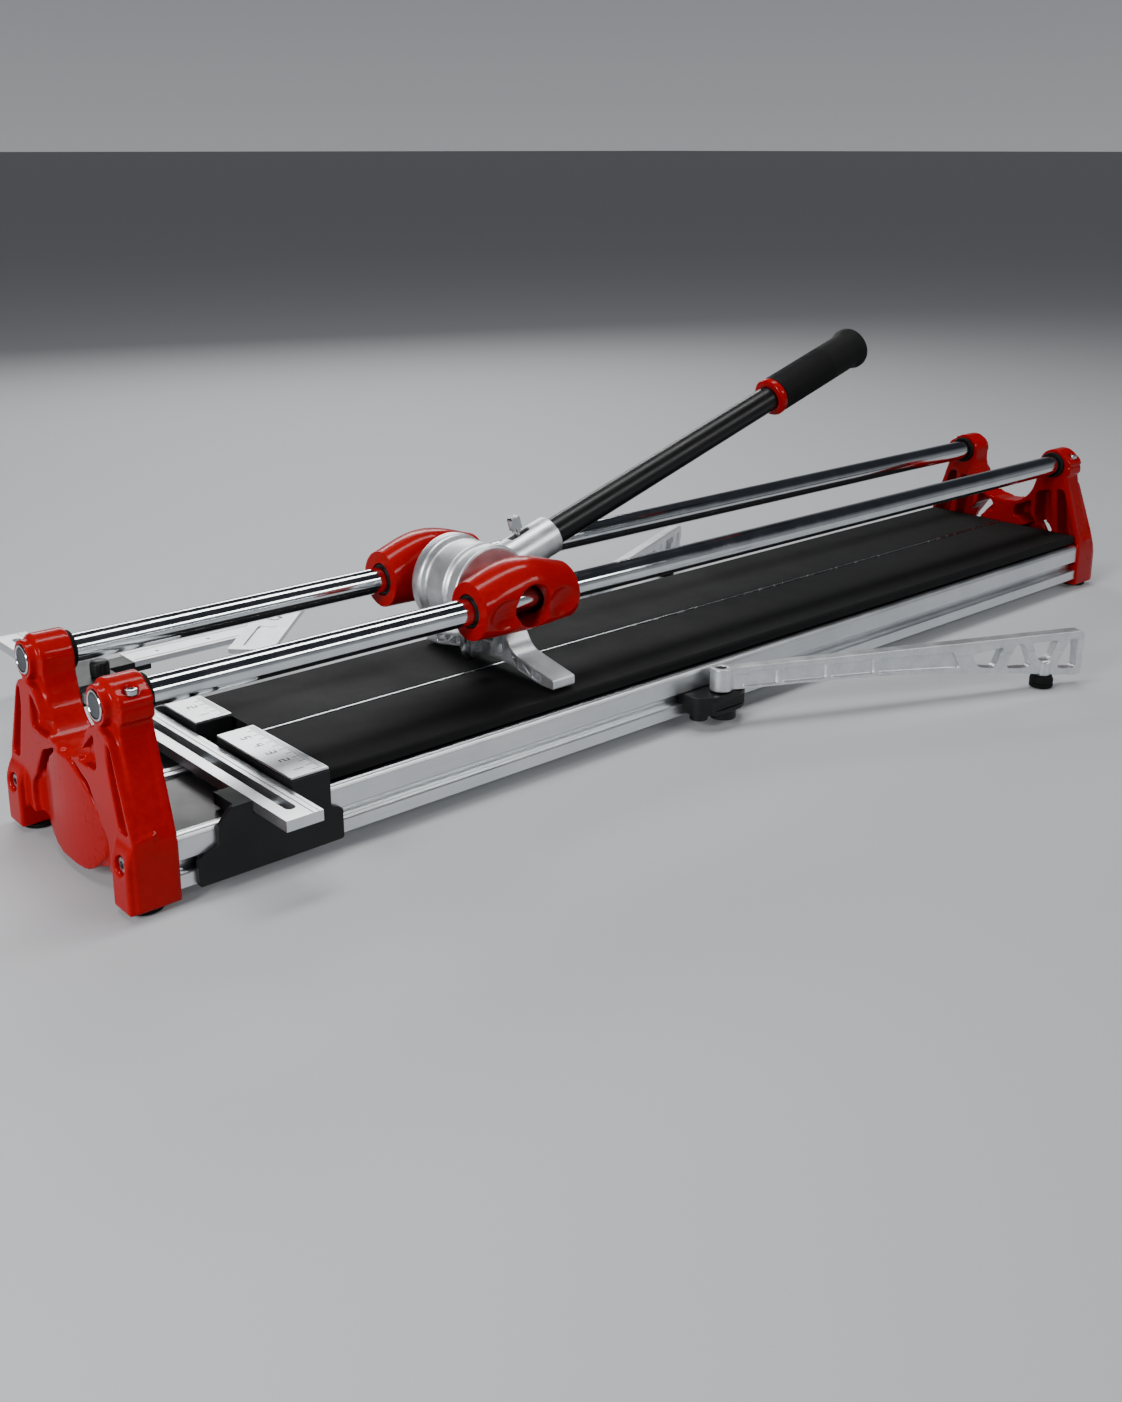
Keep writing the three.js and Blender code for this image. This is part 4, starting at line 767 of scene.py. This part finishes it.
def lever():
    """The lever head with its wheel, and the tube with its collar, grip and clamp screw."""
    at_pivot = shift(PIVOT_X, 0, RAIL_Z)
    emit("lever_head", moved(lever_head(), at_pivot), "cast_aluminium", even=False)
    wz = WHEEL_Z - RAIL_Z
    cheek = [(-7, wz - 5, 5), (7, wz - 5, 5), (10, -44, 1), (-6, -44, 1)]
    wheel_way = [block(-14, 14, -1.5, 1.5, wz - 20, wz + 12.5), rod("y", 2.8, -16, 16, 0, wz, 24)]
    holder = machined(block(-7.7, 11.7, -8, 8, -45, -29.3), [slab(cheek, "y", -8, 8)], wheel_way,
                      width=0.5)
    emit("wheel_holder", moved(holder, at_pivot), "bright_steel")
    disc = [(0, -8), (2.2, -8), (2.5, -7.7), (2.5, -1.2), (8, -1.2), (11, 0), (8, 1.2), (2.5, 1.2),
            (2.5, 7.7), (2.2, 8), (0, 8)]
    emit("scoring_wheel", lathe(disc, "y", (PIVOT_X, 0, WHEEL_Z), 56), "bright_steel")

    tube = [(11.5, 58.3), (13.2, 58), (13.5, 58.3), (13.5, 571.7), (13.2, 572), (11.5, 572)]
    collar = [(13.8, 430), (17.5, 430), (19.6, 430.9), (20.5, 432.6), (20.5, 436.2), (19.8, 438),
              (18.4, 439), (13.8, 439)]
    for node, profile, slot in (("lever_tube", tube, "black_paint"),
                                ("lever_collar", collar, "red_enamel")):
        emit(node, moved(lathe(profile, "x", steps=80, closed=True), LEVER), slot)
    emit("lever_grip", moved(grip(), LEVER), "black_rubber")
    stem = rod("z", 3, 13.8, 27, CLAMP_AT, 0, 32)
    wing = slab([(-5.2, 24, 1), (5.2, 24, 1), (5.4, 37, 2.2), (-5.4, 37, 2.2)], "y", -3.5, 3.5)
    washer = rod("z", 4.4, 22.5, 26, CLAMP_AT, 0, 32)
    clamp = machined(stem, [moved(wing, shift(CLAMP_AT, 0, 0)), washer], width=0.7, steps=3)
    emit("tube_clamp_screw", moved(clamp, LEVER), "bright_steel")


def grip():
    """A rubber sleeve with rows of fine rings, a plain end and a rounded flange."""
    profile = [(13.8, 439.3), (18.6, 439.3), (19.4, 440.2)]
    for i in range(32):
        s = 442 + 2.5 * i
        profile += [(20, s), (20, s + 1.1), (19.55, s + 1.5), (19.55, s + 2.1)]
    profile += [(20, 523), (20, 560), (20.6, 563), (22.2, 566.5), (23, 569.5), (22.8, 573.5),
                (21.6, 576.4), (19, 578), (0, 578), (0, 573), (13.8, 573)]
    return lathe(profile, "x", closed=True)


def breaker():
    """The foot that snaps the tile: two spread wings, ribbed on both faces, on a pin."""
    x, z, low = HINGE_X, HINGE_Z, 72.2
    front = [(-96, low, 1), (-76, low, 6), (-28, low + 9, 10), (28, low + 9, 10), (76, low, 6),
             (96, low, 1), (96, low + 9, 1.5), (38, low + 21, 20), (26, z + 6, 5), (-26, z + 6, 5),
             (-38, low + 21, 20), (-96, low + 9, 1.5)]
    body = slab(front, "x", x - 13, x + 13, steps=6)
    pockets = [
        [(13, low + 13), (19, z - 1), (23, z - 1), (23, low + 13)],
        [(26, low + 12.5), (26, z - 4), (31, z - 6), (39, low + 12.5)],
        [(35, low + 18), (44, low + 16), (44, low + 9)],
        [(47, low + 7), (47, low + 15), (60, low + 6)],
        [(51, low + 15), (64, low + 12), (64, low + 6)],
        [(67, low + 4.5), (67, low + 11.5), (78, low + 9), (78, low + 3)],
    ]
    # The lug's slot, then the pockets of both faces, which leave a web between them.
    cut = [block(x - 30, x + 30, -9.3, 9.3, z - 10, z + 40)]
    for side in (-1, 1):
        for a, b in ((x - 20, x - 3), (x + 3, x + 20)):
            cut += [slab([(side * u, v) for u, v in points], "x", a, b, 1.2)
                    for points in pockets]
    pin = lathe([(0, -13.8), (3.6, -13.8), (4, -13.4), (4, 13.4), (3.6, 13.8), (0, 13.8)], "y",
                (x, 0, z), 32)
    shape = cast(body, cut=cut, voxel=0.6, rounds=1)
    emit("breaker_foot", worked(shape, [pin]), "cast_aluminium", even=False)


frames_and_fittings()
rails()
base_and_table()
ruler()
lateral_stop()
arms()
carriage()
lever()
breaker()

# ---- studio ----------------------------------------------------------------------------------
FLOOR_GREY = lin("b2b4b7")
grey = bpy.data.materials.new("painted_studio_floor")
grey.use_nodes = True
for socket, value in (("Base Color", FLOOR_GREY), ("Roughness", 0.6),
                      ("Emission Color", FLOOR_GREY), ("Emission Strength", 0.1)):
    grey.node_tree.nodes["Principled BSDF"].inputs[socket].default_value = value
floor_shape = bmesh.new()
bmesh.ops.create_grid(floor_shape, x_segments=1, y_segments=1, size=200)
floor_mesh = bpy.data.meshes.new("studio_floor")
floor_shape.to_mesh(floor_mesh)
floor_mesh.materials.append(grey)
floor = linked("studio_floor", floor_mesh)
floor.location.z = -0.0005  # just under the feet


def lamp(name, at, aim, size, watts):
    """A rectangular area lamp, aimed at a point."""
    data = bpy.data.lights.new(name, "AREA")
    data.shape = "RECTANGLE"
    data.size, data.size_y = size
    data.energy = watts
    made = linked(name, data)
    made.location = at
    made.rotation_euler = (Vector(aim) - Vector(at)).to_track_quat("-Z", "Y").to_euler()


lamp("overhead", (0, 0.1, 2.4), (0, 0, 0), (2.6, 0.5), 48)
lamp("key_left", (-2.0, -0.5, 0.8), (-0.2, 0, 0.1), (0.5, 0.7), 26)
lamp("fill_right", (1.2, -2.4, 1.5), (0.1, 0, 0.1), (1.6, 0.4), 24)
lamp("rim_back", (0.8, 2.2, 1.3), (0, 0, 0.1), (2.2, 0.4), 30)

# The surroundings: pale at the horizon, darker overhead.
world = bpy.data.worlds.new("studio")
bpy.context.scene.world = world
world.use_nodes = True
sky = world.node_tree
up = add(sky, "SeparateXYZ", Vector=add(sky, "TexCoord").outputs["Generated"])
fade = ramp(sky, up.outputs["Z"], (0.0, "c9ccd1"), (0.45, "3c3f45"))
sky.links.new(fade, sky.nodes["Background"].inputs["Color"])
sky.nodes["Background"].inputs["Strength"].default_value = 0.55

camera_data = bpy.data.cameras.new("camera")
camera_data.lens = 37.955
camera_data.sensor_width = 36
camera_data.shift_x = 0.0101
camera_data.shift_y = -0.1006
camera = linked("camera", camera_data)
camera.location = (-1.0708, -1.084157, 0.5432)
dip, turn = 0.2720, -0.7152
camera.rotation_euler = (HALF_PI - dip, 0, turn)
bpy.context.scene.camera = camera
